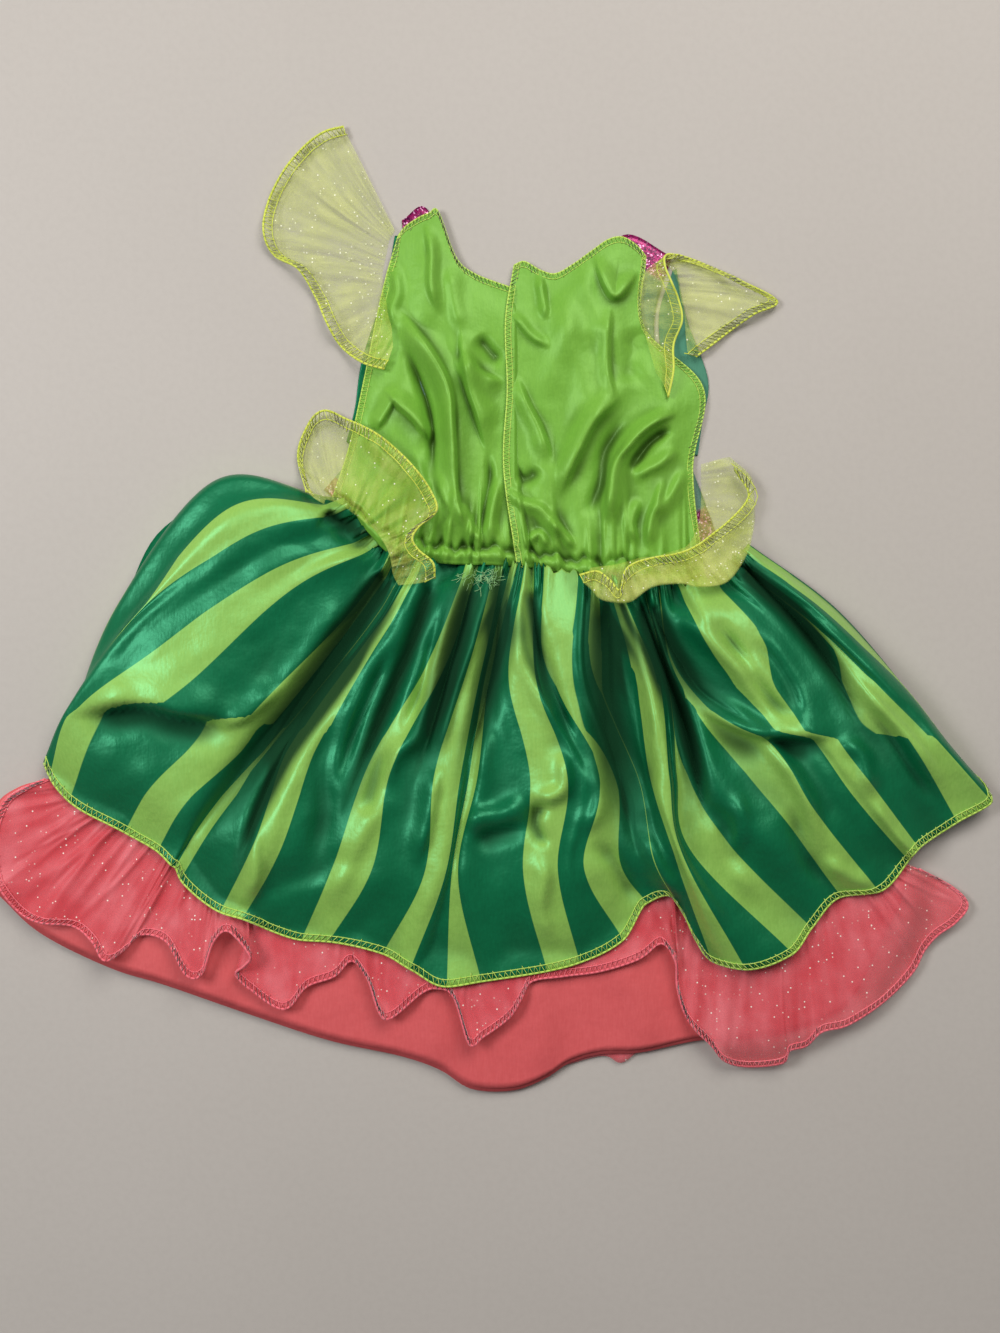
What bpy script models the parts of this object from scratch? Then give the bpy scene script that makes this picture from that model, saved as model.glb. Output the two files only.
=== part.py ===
"""A child's costume dress laid face down, built sheet by sheet from the table up.

Every piece of cloth is a grid of points worked out from named sizes and short tables,
and is closed with a wall of even thickness. Sizes are millimetres until the last step.
+X is to the right of the laid dress, +Y is towards its neck and +Z is up.
"""

from collections import namedtuple

import bpy
import numpy as np

# Driving sizes in millimetres
WALL = 1.0  # cloth thickness of the solids
WAIST_SEAM = 0.9  # from the bodice's lower edge to the overskirt's upper edge
LAYER_GAP = 0.4  # daylight between stacked layers
LIME_STRIPE = 21.5  # width of a light stripe of the overskirt cloth
DARK_STRIPE = 33.5  # width of a dark stripe
STRIPE_PERIOD = LIME_STRIPE + DARK_STRIPE
FIRST_CLOTH = -LIME_STRIPE  # cloth distance at the left edge of the upper half
LAST_CLOTH = 17 * STRIPE_PERIOD  # and at the right edge
GATHER_PERIOD = 38.0  # cloth taken up by one waist gather
GATHER_HEIGHT = 2.0
GATHER_REACH = 0.42  # share of the skirt length where the gathers fade out
MAP_CELL = 2.0  # cell of the height map that stacks the layers
MAP_HALF = 330.0
SIDE_ROLL = 24.0  # width of the band where a bodice panel rolls down at its side
BODICE_CROWN = 3.5  # rise of the bodice back over its side band

Spot = namedtuple("Spot", "x y")
Edge = namedtuple("Edge", "cloth waist upper middle lower hem_x hem_y")
Height = namedtuple("Height", "cloth waist upper middle lower hem")
Line = namedtuple("Line", "top_x top_y chest_x chest_y arm_x arm_y rib_x rib_y waist_x waist_y")
BackLine = namedtuple("BackLine", "top_x top_y chest_x chest_y arm_x arm_y rib_x rib_y waist")
Crease = namedtuple("Crease", "rise width x1 y1 x2 y2 x3 y3")
Wave = namedtuple("Wave", "seam_x edge_x edge_y rise")
Rib = namedtuple("Rib", "seam_x seam_y fold_x fold_y edge_x edge_y rise")

# Four lines across the laid overskirt, along which the folds are placed
SECTIONS = {
    "waist": [Spot(-95, 65), Spot(-85, 58), Spot(-70, 40), Spot(-52, 24), Spot(-30, 17),
              Spot(15, 15), Spot(62, 7), Spot(92, 11), Spot(120, 15), Spot(140, 28),
              Spot(147, 38)],
    "upper": [Spot(-161, 71), Spot(-143, 40), Spot(-117, 12), Spot(-82, -18), Spot(-37, -36),
              Spot(21, -43), Spot(85, -41), Spot(126, -32), Spot(163, -18), Spot(199, 0)],
    "middle": [Spot(-217, 3), Spot(-187, -26), Spot(-152, -58), Spot(-112, -81),
               Spot(-66, -92), Spot(-19, -96), Spot(38, -99), Spot(91, -97),
               Spot(140, -87), Spot(177, -73), Spot(212, -55), Spot(238, -42)],
    "lower": [Spot(-245, -57), Spot(-219, -81), Spot(-187, -104), Spot(-149, -130),
              Spot(-112, -144), Spot(-66, -151), Spot(-13, -155), Spot(38, -152),
              Spot(90, -144), Spot(140, -136), Spot(180, -122), Spot(215, -104),
              Spot(244, -85), Spot(264, -78)],
}
STATION_SHARE = (0.0, 0.28, 0.52, 0.77, 1.0)  # waist, the three sections, hem

# Where each stripe edge of the overskirt crosses the sections, and where it meets the hem
EDGES = [
    Edge(-21.5, 0, -2, 0, 5, -244, -84),
    Edge(0, 4, -3, 0, 4, -249, -87),
    Edge(33.5, 10, 15, 11, 1, -256, -89),
    Edge(55, 15, 34, 13, -1, -260, -88),
    Edge(88.5, 34, 59, 36, 4, -256, -98),
    Edge(110, 41, 75, 61, 27, -244, -112),
    Edge(143.5, 50, 108, 96, 67, -213, -129),
    Edge(165, 54.5, 114, 112, 88, -194, -140),
    Edge(176.5, 57, 117, 114, 96, -186, -148),
    Edge(198.5, 61, 121, 118, 101, -184, -149),
    Edge(220, 64.5, 125, 124, 108, -181, -156),
    Edge(253.5, 70, 128, 131.5, 133, -158, -175),
    Edge(275, 75, 135, 146, 148.5, -145, -179),
    Edge(308.5, 99, 166, 176.5, 180.5, -111, -191),
    Edge(330, 106, 176, 190, 203, -95, -192),
    Edge(363.5, 115, 189.5, 215, 233, -64, -199),
    Edge(385, 119.5, 198, 230, 245, -48, -208),
    Edge(418.5, 123.5, 201, 235, 249, -27, -218),
    Edge(440, 127, 204, 240, 253, -7, -215),
    Edge(473.5, 131.5, 215, 270, 290.5, 31, -209),
    Edge(495, 137, 231, 291.5, 310.5, 50, -204),
    Edge(528.5, 143, 235, 309, 325, 75, -191),
    Edge(550, 163, 256.5, 319, 345.5, 88, -170),
    Edge(583.5, 170.5, 264, 331, 363, 101, -165),
    Edge(605, 174.5, 273, 335, 370, 111, -178),
    Edge(620, 177, 281, 338, 374.5, 117, -191),
    Edge(638.5, 180, 289.5, 340.5, 379.5, 126, -203),
    Edge(660, 184.5, 301, 351, 383.5, 146, -208),
    Edge(693.5, 198, 306, 355, 389, 173, -199),
    Edge(715, 202, 308, 361, 412, 184, -184),
    Edge(748.5, 208, 312, 389, 447.5, 201, -166),
    Edge(770, 212, 318, 412, 465, 223, -163),
    Edge(803.5, 222, 344.5, 433, 488, 240, -145),
    Edge(825, 241, 370, 444, 500.5, 246, -138),
    Edge(858.5, 254, 394, 478, 533, 268, -123),
    Edge(880, 259, 399, 488.5, 548, 288, -111),
    Edge(913.5, 266, 409, 496, 552, 285, -103),
    Edge(935, 271, 413, 496, 550, 279, -97),
]

# Height of the overskirt cloth over the table along its folds
HEIGHTS = [
    Height(-21.5, 3, 3, 2.5, 2, 2),
    Height(0, 5, 12, 7.5, 4.5, 3.8),
    Height(20, 8, 22, 10, 5.6, 4.6),
    Height(33.5, 10, 27, 12, 6.6, 5.2),
    Height(55, 12, 30, 21, 9.5, 7),
    Height(72, 12, 31, 30, 15, 8.5),
    Height(88.5, 12, 33, 34, 18, 8),
    Height(110, 12, 30, 35, 17, 8),
    Height(143.5, 11, 19, 26, 14, 9),
    Height(165, 10, 11, 15, 13, 11),
    Height(176.5, 9, 8, 10, 12, 13),
    Height(198.5, 9, 8, 8, 8, 8),
    Height(220, 9, 8, 8, 8, 7.5),
    Height(240, 9.5, 10, 11, 12, 8),
    Height(258, 10, 16, 21, 19, 9),
    Height(266, 10, 17, 22, 20, 10),
    Height(275, 10, 15, 20, 18, 10),
    Height(292, 10, 14, 15, 13, 8),
    Height(308.5, 11, 16, 14, 12, 8),
    Height(320, 12, 19, 18, 15, 9),
    Height(330, 12, 18, 18, 16, 10),
    Height(345, 11, 15, 15, 14, 9),
    Height(363.5, 12, 18, 19, 17, 9),
    Height(375, 13, 21, 24, 21, 11),
    Height(385, 12, 16, 18, 16, 13),
    Height(402, 10, 9, 9, 10, 8),
    Height(418.5, 9.5, 8.5, 8, 9, 8),
    Height(440, 10, 9, 10, 10, 9),
    Height(457, 11, 13, 14, 12, 9),
    Height(473.5, 12, 17, 20, 15, 8),
    Height(484, 13, 20, 25, 18, 9),
    Height(495, 13, 19, 22, 17, 9),
    Height(512, 12, 16, 17, 14, 8),
    Height(528.5, 12, 17, 16, 12, 8),
    Height(540, 12, 18, 16, 11, 9),
    Height(550, 12, 16, 13, 10, 10),
    Height(583.5, 10, 9, 8.5, 9, 11),
    Height(605, 9.5, 8.5, 8, 10, 13),
    Height(620, 9.5, 12, 13, 14, 13),
    Height(638.5, 11, 20, 26, 22, 11),
    Height(650, 12, 25, 34, 33, 14),
    Height(660, 12, 24, 32, 33, 16),
    Height(677, 11, 15, 20, 24, 19),
    Height(693.5, 10, 10, 13, 16, 16),
    Height(715, 10, 9, 11, 13, 11),
    Height(733, 10, 10, 13, 15, 9),
    Height(748.5, 11, 13, 16, 20, 9),
    Height(760, 12, 15, 19, 22, 11),
    Height(770, 12, 15, 18, 18, 11),
    Height(790, 12, 17, 17, 14, 8),
    Height(803.5, 12, 18, 18, 14, 10),
    Height(815, 12, 20, 20, 17, 15),
    Height(825, 12, 20, 22, 17, 13),
    Height(845, 11, 17, 18, 13, 8),
    Height(858.5, 10, 12, 12, 10, 8),
    Height(869, 10, 13, 13, 11, 9),
    Height(880, 10, 17, 18, 15, 11),
    Height(895, 9, 15, 16, 13, 10),
    Height(913.5, 6, 8, 8, 7, 6),
    Height(935, 3, 3, 3, 3, 3),
]

# Flat outlines that lie on the table or between the two halves of the overskirt
UNDER_WAIST = [Spot(-92, 62), Spot(-66, 35), Spot(-30, 14), Spot(15, 12), Spot(62, 4),
               Spot(95, 8), Spot(125, 16), Spot(144, 34)]
UNDER_HEM = [Spot(-256, -84), Spot(-240, -106), Spot(-186, -138), Spot(-140, -168),
             Spot(-60, -190), Spot(0, -203), Spot(70, -180), Spot(110, -158),
             Spot(170, -178), Spot(235, -142), Spot(280, -108)]
UNDER_LEFT = [Spot(-92, 62), Spot(-150, 66), Spot(-193, 45), Spot(-215, 0), Spot(-232, -38),
              Spot(-256, -84)]
UNDER_RIGHT = [Spot(144, 34), Spot(170, 22), Spot(212, -18), Spot(238, -48), Spot(262, -84),
               Spot(280, -108)]
LINING_WAIST = [Spot(-78, 47), Spot(-50, 20), Spot(-30, 13), Spot(15, 10), Spot(62, 2),
                Spot(95, 6), Spot(112, 9)]
LINING_HEM = [Spot(-287, -164), Spot(-262, -187), Spot(-222, -207), Spot(-190, -217),
              Spot(-141, -234), Spot(-95, -249), Spot(-54, -258), Spot(-31, -266),
              Spot(-13, -277), Spot(11, -278), Spot(30, -271), Spot(44, -262), Spot(62, -257),
              Spot(85, -256), Spot(119, -249), Spot(154, -247), Spot(177, -242), Spot(199, -233)]
LINING_LEFT = [Spot(-78, 47), Spot(-128, 0), Spot(-190, -58), Spot(-245, -94),
               Spot(-274, -104), Spot(-288, -116), Spot(-291, -142), Spot(-287, -164)]
LINING_RIGHT = [Spot(112, 9), Spot(160, -22), Spot(205, -62), Spot(234, -110),
                Spot(238, -159), Spot(226, -188), Spot(210, -221), Spot(199, -233)]
LINING_FOLDS = [
    Crease(2.4, 9, -250, -150, -240, -175, -222, -206),
    Crease(2.0, 8, -170, -170, -165, -200, -150, -231),
    Crease(2.6, 9, -40, -205, -34, -235, -31, -266),
    Crease(3.0, 10, 20, -205, 28, -240, 30, -271),
    Crease(2.2, 9, 70, -200, 84, -230, 90, -256),
    Crease(2.4, 10, 150, -190, 160, -220, 165, -245),
]
FRILL_SEAM = [Spot(-236, -100), Spot(-222, -112), Spot(-199, -129), Spot(-170, -146),
              Spot(-141, -158), Spot(-112, -166), Spot(-83, -173), Spot(-54, -180),
              Spot(-25, -184), Spot(4, -186), Spot(33, -181), Spot(62, -173),
              Spot(90, -164), Spot(119, -161), Spot(142, -158), Spot(166, -153),
              Spot(189, -148), Spot(212, -144), Spot(226, -141)]

# Free edge of the glitter ruffle, wave by wave, with the place where each starts on its seam
RUFFLE = [
    Wave(-236, -259, -98, 1), Wave(-234, -273, -104, 3), Wave(-231, -283, -112, 1),
    Wave(-227, -290, -130, 3), Wave(-223, -289, -150, 1), Wave(-219, -285, -162, 3),
    Wave(-214, -274, -175, 1), Wave(-208, -262, -181, 4), Wave(-201, -243, -183, 1),
    Wave(-195, -232, -192, 4), Wave(-189, -225, -203, 6), Wave(-184, -214, -197, 3),
    Wave(-179, -204, -188, 1), Wave(-172, -189, -192, 3), Wave(-165, -178, -211, 7),
    Wave(-160, -169, -211, 6), Wave(-155, -162, -192, 6), Wave(-150, -153, -186, 8),
    Wave(-144, -141, -200, 11), Wave(-139, -144, -206, 8), Wave(-134, -149, -211, 3),
    Wave(-129, -140, -220, 2), Wave(-120, -121, -231, 5), Wave(-110, -108, -218, 3),
    Wave(-98, -92, -212, 2), Wave(-88, -82, -203, 2), Wave(-78, -73, -213, 5),
    Wave(-69, -66, -233, 7), Wave(-62, -59, -236, 5), Wave(-50, -42, -222, 2),
    Wave(-40, -33, -219, 2), Wave(-30, -23, -224, 4), Wave(-20, -14, -251, 7),
    Wave(-11, -6, -247, 6), Wave(4, 9, -236, 3), Wave(12, 16, -225, 3), Wave(20, 22, -215, 1),
    Wave(38, 40, -212, 1), Wave(60, 62, -209, 1), Wave(80, 84, -202, 2), Wave(92, 97, -193, 3),
    Wave(100, 105, -203, 6), Wave(105, 106, -217, 3), Wave(111, 110, -232, 3),
    Wave(118, 116, -242, 5), Wave(127, 126, -252, 3), Wave(136, 134, -261, 5),
    Wave(146, 147, -264, 3), Wave(158, 167, -262, 6), Wave(164, 171, -255, 5),
    Wave(172, 181, -252, 3), Wave(179, 190, -244, 5), Wave(188, 205, -240, 3),
    Wave(197, 225, -227, 5), Wave(204, 242, -210, 4), Wave(209, 249, -197, 3),
    Wave(212, 257, -188, 4), Wave(217, 267, -181, 5), Wave(220, 274, -171, 4),
    Wave(223, 266, -161, 2), Wave(225, 246, -150, 1),
]
FRONT_FRILL_TOP = [Spot(-255, -150), Spot(-180, -190), Spot(-95, -215), Spot(0, -238),
                   Spot(60, -225), Spot(119, -215), Spot(190, -200)]
FRONT_FRILL_EDGE = [Spot(-272, -170), Spot(-190, -211), Spot(-95, -243), Spot(-10, -270),
                    Spot(30, -266), Spot(62, -258), Spot(74, -262), Spot(88, -253),
                    Spot(119, -243), Spot(192, -230)]

# Bodice panels: lines that run down the panel, at five levels
FRONT_LINES = [
    Line(-53, 225, -49, 179, -55, 133, -82, 89, -98, 69),
    Line(-38, 231, -31, 179, -31, 130, -37, 81, -42, 22),
    Line(-22, 185, -16, 162, -14, 127, -11, 78, -11, 18),
    Line(15, 164, 16, 150, 18, 124, 18, 78, 18, 16),
    Line(53, 179, 50, 162, 50, 127, 53, 78, 56, 10),
    Line(74, 216, 76, 173, 82, 127, 88, 78, 93, 14),
    Line(103, 204, 93, 167, 99, 124, 115, 81, 129, 43),
]
SIDE_LEFT_LINES = [
    Line(-57, 216, -63, 185, -76, 144, -80, 117, -85, 97),
    Line(-55.8, 216, -57.5, 181, -67, 139, -75.5, 113.5, -83.7, 95.8),
    Line(-54.4, 216, -52, 179, -58.5, 134, -71, 110, -82, 94.5),
]
SIDE_RIGHT_LINES = [
    Line(103.6, 196, 95.5, 167, 101, 124, 108, 104, 114.6, 89),
    Line(104.4, 196, 104, 168, 113, 128, 115, 106, 116.2, 89),
    Line(105.6, 197, 112, 167, 124, 133, 121, 110, 118, 89),
]
BACK_LEFT_LINES = [
    BackLine(-55, 216, -64, 184, -74, 136, -83, 95, 2),
    BackLine(-51, 221, -58, 181, -62, 134, -71, 89, 26),
    BackLine(-47, 224, -52, 178, -51, 133, -54, 89, 46),
    BackLine(-42, 227, -45, 176, -42, 130, -38, 89, 61),
    BackLine(-37, 229, -37, 176, -33, 127, -28, 86, 75),
    BackLine(-32, 230, -28, 176, -24, 124, -20, 84, 87),
    BackLine(-22, 204, -18, 167, -14, 121, -10, 84, 99),
    BackLine(-11, 194, -8, 162, -4, 121, -2, 84, 112),
    BackLine(6, 186, 7, 156, 7, 121, 5, 84, 125),
]
BACK_RIGHT_LINES = [
    BackLine(12, 199, 7, 167, 8, 127, 6, 81, 127),
    BackLine(18, 201, 15, 167, 16, 127, 16, 81, 137),
    BackLine(27, 196, 27, 167, 30, 124, 30, 78, 149),
    BackLine(36, 194, 38, 167, 42, 124, 44, 78, 162),
    BackLine(47, 200, 51, 167, 56, 124, 59, 78, 175),
    BackLine(58, 208, 63, 167, 70, 124, 73, 78, 188),
    BackLine(67, 214, 73, 167, 82, 121, 87, 78, 201),
    BackLine(75, 215, 80, 167, 93, 120, 98, 77, 213),
    BackLine(83, 210, 84, 166, 106, 121, 109, 79, 225),
    BackLine(88, 204, 87, 163, 121, 128, 115, 80, 237),
]

# Soft creases of the bodice back, each along three spots
LEFT_CREASES = [
    Crease(4.5, 8, -56, 169, -26, 127, -23, 70),
    Crease(3.0, 7, -23, 70, -18, 42, -10, 30),
    Crease(3.0, 7, -21, 149, -8, 120, 3, 105),
    Crease(2.6, 7, -60, 121, -46, 109, -35, 95),
    Crease(2.2, 8, -46, 210, -38, 185, -40, 160),
]
RIGHT_CREASES = [
    Crease(4.2, 9, 81, 137, 58, 112, 41, 78),
    Crease(4.0, 8, 101, 115, 74, 92, 66, 45),
    Crease(2.6, 8, 46, 190, 38, 150, 30, 120),
    Crease(2.2, 8, 72, 200, 70, 170, 76, 145),
    Crease(2.0, 7, 24, 105, 30, 80, 26, 50),
]

# Frills, from the sewn edge over the fold to the free edge
SLEEVE_LEFT_RIBS = [
    Rib(-57, 219, -72, 249, -87, 279, 2),
    Rib(-58, 217, -80, 247, -98, 276, 7),
    Rib(-60, 214, -88, 240, -109, 268, 2),
    Rib(-61, 210, -94, 232, -121, 254, 6),
    Rib(-62, 205, -98, 223, -130, 236, 2),
    Rib(-63, 200, -98, 212, -133, 219, 5),
    Rib(-64, 195, -96, 202, -127, 205, 2),
    Rib(-64, 190, -88, 194, -113, 197, 5),
    Rib(-64, 185, -83, 184, -103, 181, 2),
    Rib(-62, 178, -79, 172, -96, 165, 6),
    Rib(-61, 171, -75, 161, -88, 152, 2),
    Rib(-59, 163, -67, 152, -76, 143, 5),
    Rib(-58, 152, -60, 146, -63, 139, 2),
]
SLEEVE_RIGHT_RIBS = [
    Rib(94, 137, 98, 131, 101, 123, 1),
    Rib(91, 147, 97, 143, 104, 138, 4),
    Rib(88, 158, 96, 156, 104, 153, 1),
    Rib(86, 168, 97, 168, 109, 167, 5),
    Rib(85, 178, 95, 179, 107, 179, 4),
    Rib(85, 187, 93, 188, 103, 189, 7),
    Rib(87, 194, 93, 197, 99, 199, 6),
    Rib(92, 199, 96, 202, 100, 205, 4),
    Rib(98, 200, 104, 202, 110, 204, 2),
    Rib(103, 196, 114, 198, 125, 198, 1),
    Rib(106, 191, 125, 191, 145, 189, 5),
    Rib(107, 187, 136, 184, 164, 178, 2),
    Rib(108, 180, 130, 177, 151, 171, 6),
    Rib(110, 171, 124, 167, 138, 162, 2),
    Rib(111, 160, 118, 156, 125, 152, 4),
    Rib(112, 149, 114, 147, 117, 146, 2),
]
PEPLUM_LEFT_RIBS = [
    Rib(-98, 61, -103, 64, -108, 68, 1),
    Rib(-97, 63.5, -105, 76, -113, 89, 2),
    Rib(-94, 63, -101, 85, -107, 107, 2),
    Rib(-91, 62, -95, 88, -98, 115, 6),
    Rib(-87, 60, -86, 85, -85, 110, 2),
    Rib(-83, 57, -76, 80, -70, 103, 6),
    Rib(-79, 54, -68, 73, -57, 93, 2),
    Rib(-74, 50, -59, 65, -45, 81, 7),
    Rib(-69, 46, -52, 57, -36, 68, 3),
    Rib(-65, 41, -48, 48, -33, 57, 5),
    Rib(-62, 36, -53, 42, -43, 48, 4),
    Rib(-60, 31, -54, 36, -47, 41, 5),
    Rib(-59, 26, -50, 29, -43, 34, 3),
    Rib(-58, 20, -46, 23, -35, 27, 6),
    Rib(-55, 14, -44, 15, -34, 18, 3),
]
PEPLUM_RIGHT_RIBS = [
    Rib(120, 84, 136, 88, 140, 80, 2),
    Rib(120, 75, 149, 76, 147, 69, 4),
    Rib(120, 63, 151, 57, 146, 62, 2),
    Rib(119, 52, 150, 45, 137, 52, 5),
    Rib(116, 43, 146, 31, 126, 43, 2),
    Rib(112, 37, 135, 16, 116, 36, 5),
    Rib(108, 35, 119, 13, 105, 32, 2),
    Rib(101, 33, 108, 15, 93, 30, 5),
    Rib(93, 31, 92, 13, 82, 27, 2),
    Rib(85, 30, 80, 5, 76, 22, 6),
    Rib(78, 28, 72, 4, 73, 11, 2),
    Rib(70, 26, 62, 6, 67, 17, 5),
    Rib(62, 25, 57, 11, 60, 22, 2),
    Rib(56, 24, 52, 16, 50, 20, 4),
]


def steps_between(xs, ys, at):
    """Span number, share along it and span width for each place in a table."""
    span = np.clip(np.searchsorted(xs, at, side="right") - 1, 0, len(xs) - 2)
    width = xs[span + 1] - xs[span]
    share = ((at - xs[span]) / width)[:, None]
    return span, share, width[:, None]


def hermite(xs, ys, slopes, at):
    span, s, width = steps_between(xs, ys, at)
    low, high = ys[span], ys[span + 1]
    rise_low, rise_high = slopes[span] * width, slopes[span + 1] * width
    return ((2 * s**3 - 3 * s**2 + 1) * low + (s**3 - 2 * s**2 + s) * rise_low
            + (-2 * s**3 + 3 * s**2) * high + (s**3 - s**2) * rise_high)


def table_arrays(xs, ys):
    xs = np.asarray(xs, float)
    ys = np.asarray(ys, float)
    if ys.ndim == 1:
        ys = ys[:, None]
    return xs, ys


def smooth(xs, ys, at):
    """Rounded curve through a table."""
    xs, ys = table_arrays(xs, ys)
    width = np.diff(xs)[:, None]
    grade = np.diff(ys, axis=0) / width
    slopes = np.zeros_like(ys)
    slopes[1:-1] = (grade[:-1] * width[1:] + grade[1:] * width[:-1]) / (width[1:] + width[:-1])
    slopes[0], slopes[-1] = grade[0], grade[-1]
    return hermite(xs, ys, slopes, np.asarray(at, float))


def steady(xs, ys, at):
    """Curve through a table that never passes the rows it joins."""
    xs, ys = table_arrays(xs, ys)
    width = np.diff(xs)[:, None]
    grade = np.diff(ys, axis=0) / width
    slopes = np.zeros_like(ys)
    before, after = grade[:-1], grade[1:]
    same = before * after > 0
    total = np.where(same, before + after, 1.0)
    slopes[1:-1] = np.where(same, 2 * before * after / total, 0.0)
    slopes[0], slopes[-1] = grade[0], grade[-1]
    return hermite(xs, ys, slopes, np.asarray(at, float))


def measured(spots, per_span=30):
    """Fine points along a curve through the spots, and the distance to each."""
    spots = np.array(spots, float)
    fine = smooth(np.arange(len(spots)), spots, np.linspace(0, len(spots) - 1,
                                                           per_span * (len(spots) - 1) + 1))
    run = np.linalg.norm(np.diff(fine, axis=0), axis=1)
    return fine, np.concatenate([[0.0], np.cumsum(run)])


def along(spots, distances):
    """Points at distances along a curve, straight on past its ends."""
    fine, run = measured(spots)
    inside = np.stack([np.interp(distances, run, fine[:, i]) for i in (0, 1)], axis=-1)
    first = (fine[1] - fine[0]) / (run[1] - run[0])
    last = (fine[-1] - fine[-2]) / (run[-1] - run[-2])
    before = np.minimum(distances, 0)[..., None] * first
    after = np.maximum(distances - run[-1], 0)[..., None] * last
    return inside + before + after


def by_share(spots, shares):
    return along(spots, np.asarray(shares) * measured(spots)[1][-1])


def eased(values):
    values = np.clip(values, 0.0, 1.0)
    return values * values * (3 - 2 * values)


def patch(top, bottom, left, right, across, down):
    """Flat grid that blends its four outlines."""
    u = np.linspace(0, 1, across)
    v = np.linspace(0, 1, down)
    t, b = by_share(top, u), by_share(bottom, u)
    l, r = by_share(left, v), by_share(right, v)
    us, vs = u[None, :, None], v[:, None, None]
    grid = (1 - vs) * t[None] + vs * b[None] + (1 - us) * l[:, None] + us * r[:, None]
    corners = ((1 - us) * (1 - vs) * t[0] + us * (1 - vs) * t[-1]
               + (1 - us) * vs * b[0] + us * vs * b[-1])
    return grid - corners


def crease_rise(flat, creases):
    """Height added by soft creases at flat points."""
    total = np.zeros(flat.shape[:-1])
    for crease in creases:
        spots = [Spot(crease.x1, crease.y1), Spot(crease.x2, crease.y2),
                 Spot(crease.x3, crease.y3)]
        fine, run = measured(spots, 12)
        gap = np.linalg.norm(flat[..., None, :] - fine, axis=-1)
        nearest = gap.argmin(axis=-1)
        away = gap.min(axis=-1)
        share = run[nearest] / run[-1]
        taper = eased(share / 0.25) * eased((1 - share) / 0.25) * 0.7 + 0.3
        total = np.maximum(total, crease.rise * taper * np.exp(-(away / crease.width) ** 2))
    return total


class Stack:
    """Height map of everything laid so far, so that the next layer rests on it."""

    def __init__(self):
        self.count = int(2 * MAP_HALF / MAP_CELL) + 1
        self.top = np.zeros((self.count, self.count))

    def cell(self, values):
        return np.clip(((values + MAP_HALF) / MAP_CELL), 0, self.count - 1.001)

    def add(self, grid):
        v = np.linspace(0, grid.shape[0] - 1, (grid.shape[0] - 1) * 8 + 1)
        u = np.linspace(0, grid.shape[1] - 1, (grid.shape[1] - 1) * 8 + 1)
        vi, ui = np.minimum(v.astype(int), grid.shape[0] - 2), np.minimum(u.astype(int),
                                                                         grid.shape[1] - 2)
        vf, uf = (v - vi)[:, None, None], (u - ui)[None, :, None]
        fine = ((1 - vf) * (1 - uf) * grid[vi][:, ui] + (1 - vf) * uf * grid[vi][:, ui + 1]
                + vf * (1 - uf) * grid[vi + 1][:, ui] + vf * uf * grid[vi + 1][:, ui + 1])
        column = np.round(self.cell(fine[..., 0])).astype(int)
        row = np.round(self.cell(fine[..., 1])).astype(int)
        np.maximum.at(self.top, (row, column), fine[..., 2] + WALL / 2)

    def spread(self, cells):
        """The map with every height carried this many cells outwards."""
        wide = self.top.copy()
        for _ in range(cells):
            padded = np.pad(wide, 1, mode="edge")
            wide = np.max([padded[i:i + self.count, j:j + self.count]
                           for i in range(3) for j in range(3)], axis=0)
        return wide

    def softened(self, cells):
        """Spread heights rounded off, never lower than the spread by less cells."""
        wide = self.spread(cells)
        for _ in range(cells):
            padded = np.pad(wide, 1, mode="edge")
            wide = np.mean([padded[i:i + self.count, j:j + self.count]
                            for i in range(3) for j in range(3)], axis=0)
        return wide

    def under(self, flat, cells=3):
        wide = self.softened(cells)
        column, row = self.cell(flat[..., 0]), self.cell(flat[..., 1])
        c, r = column.astype(int), row.astype(int)
        cf, rf = column - c, row - r
        return ((1 - rf) * (1 - cf) * wide[r, c] + (1 - rf) * cf * wide[r, c + 1]
                + rf * (1 - cf) * wide[r + 1, c] + rf * cf * wide[r + 1, c + 1])


def raised(flat, height):
    return np.concatenate([flat, height[..., None]], axis=-1)


def resting(stack, flat, extra=0.0, cells=3):
    """Grid that lies on the layers below it, with some extra height of its own."""
    support = stack.under(flat, cells)
    gap = LAYER_GAP * eased(support / 0.8)
    return raised(flat, support + gap + WALL / 2 + extra)


def level(flat, layer):
    """Flat layer of the pile, counted from the one that lies on the table."""
    height = WALL / 2 + layer * (WALL + LAYER_GAP)
    return raised(flat, np.full(flat.shape[:-1], height))


def normals(grid):
    across = np.gradient(grid, axis=1)
    down = np.gradient(grid, axis=0)
    found = np.cross(down, across)
    size = np.linalg.norm(found, axis=-1, keepdims=True)
    flat_up = np.array([0.0, 0.0, 1.0])
    found = np.where(size > 1e-6, found / np.maximum(size, 1e-6), flat_up)
    return found


def closed_sheet(grid, thickness=WALL):
    """Points and faces of a cloth grid closed with an even wall."""
    rows, columns = grid.shape[:2]
    away = normals(grid)
    mirrored = away[..., 2].mean() < 0
    if mirrored:
        away = -away
    upper = (grid + away * thickness / 2).reshape(-1, 3)
    lower = (grid - away * thickness / 2).reshape(-1, 3)
    index = np.arange(rows * columns).reshape(rows, columns)
    a, b = index[:-1, :-1].ravel(), index[:-1, 1:].ravel()
    c, d = index[1:, 1:].ravel(), index[1:, :-1].ravel()
    top = np.stack([a, d, c, b], axis=1)
    bottom = np.stack([a, b, c, d], axis=1) + rows * columns
    rim = np.concatenate([index[0, :-1], index[:-1, -1], index[-1, :0:-1], index[:0:-1, 0]])
    ahead = np.roll(rim, -1)
    wall = np.stack([rim, ahead, ahead + rows * columns, rim + rows * columns], axis=1)
    faces = np.concatenate([top, bottom, wall])
    return np.concatenate([upper, lower]), faces[:, ::-1] if mirrored else faces


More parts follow.
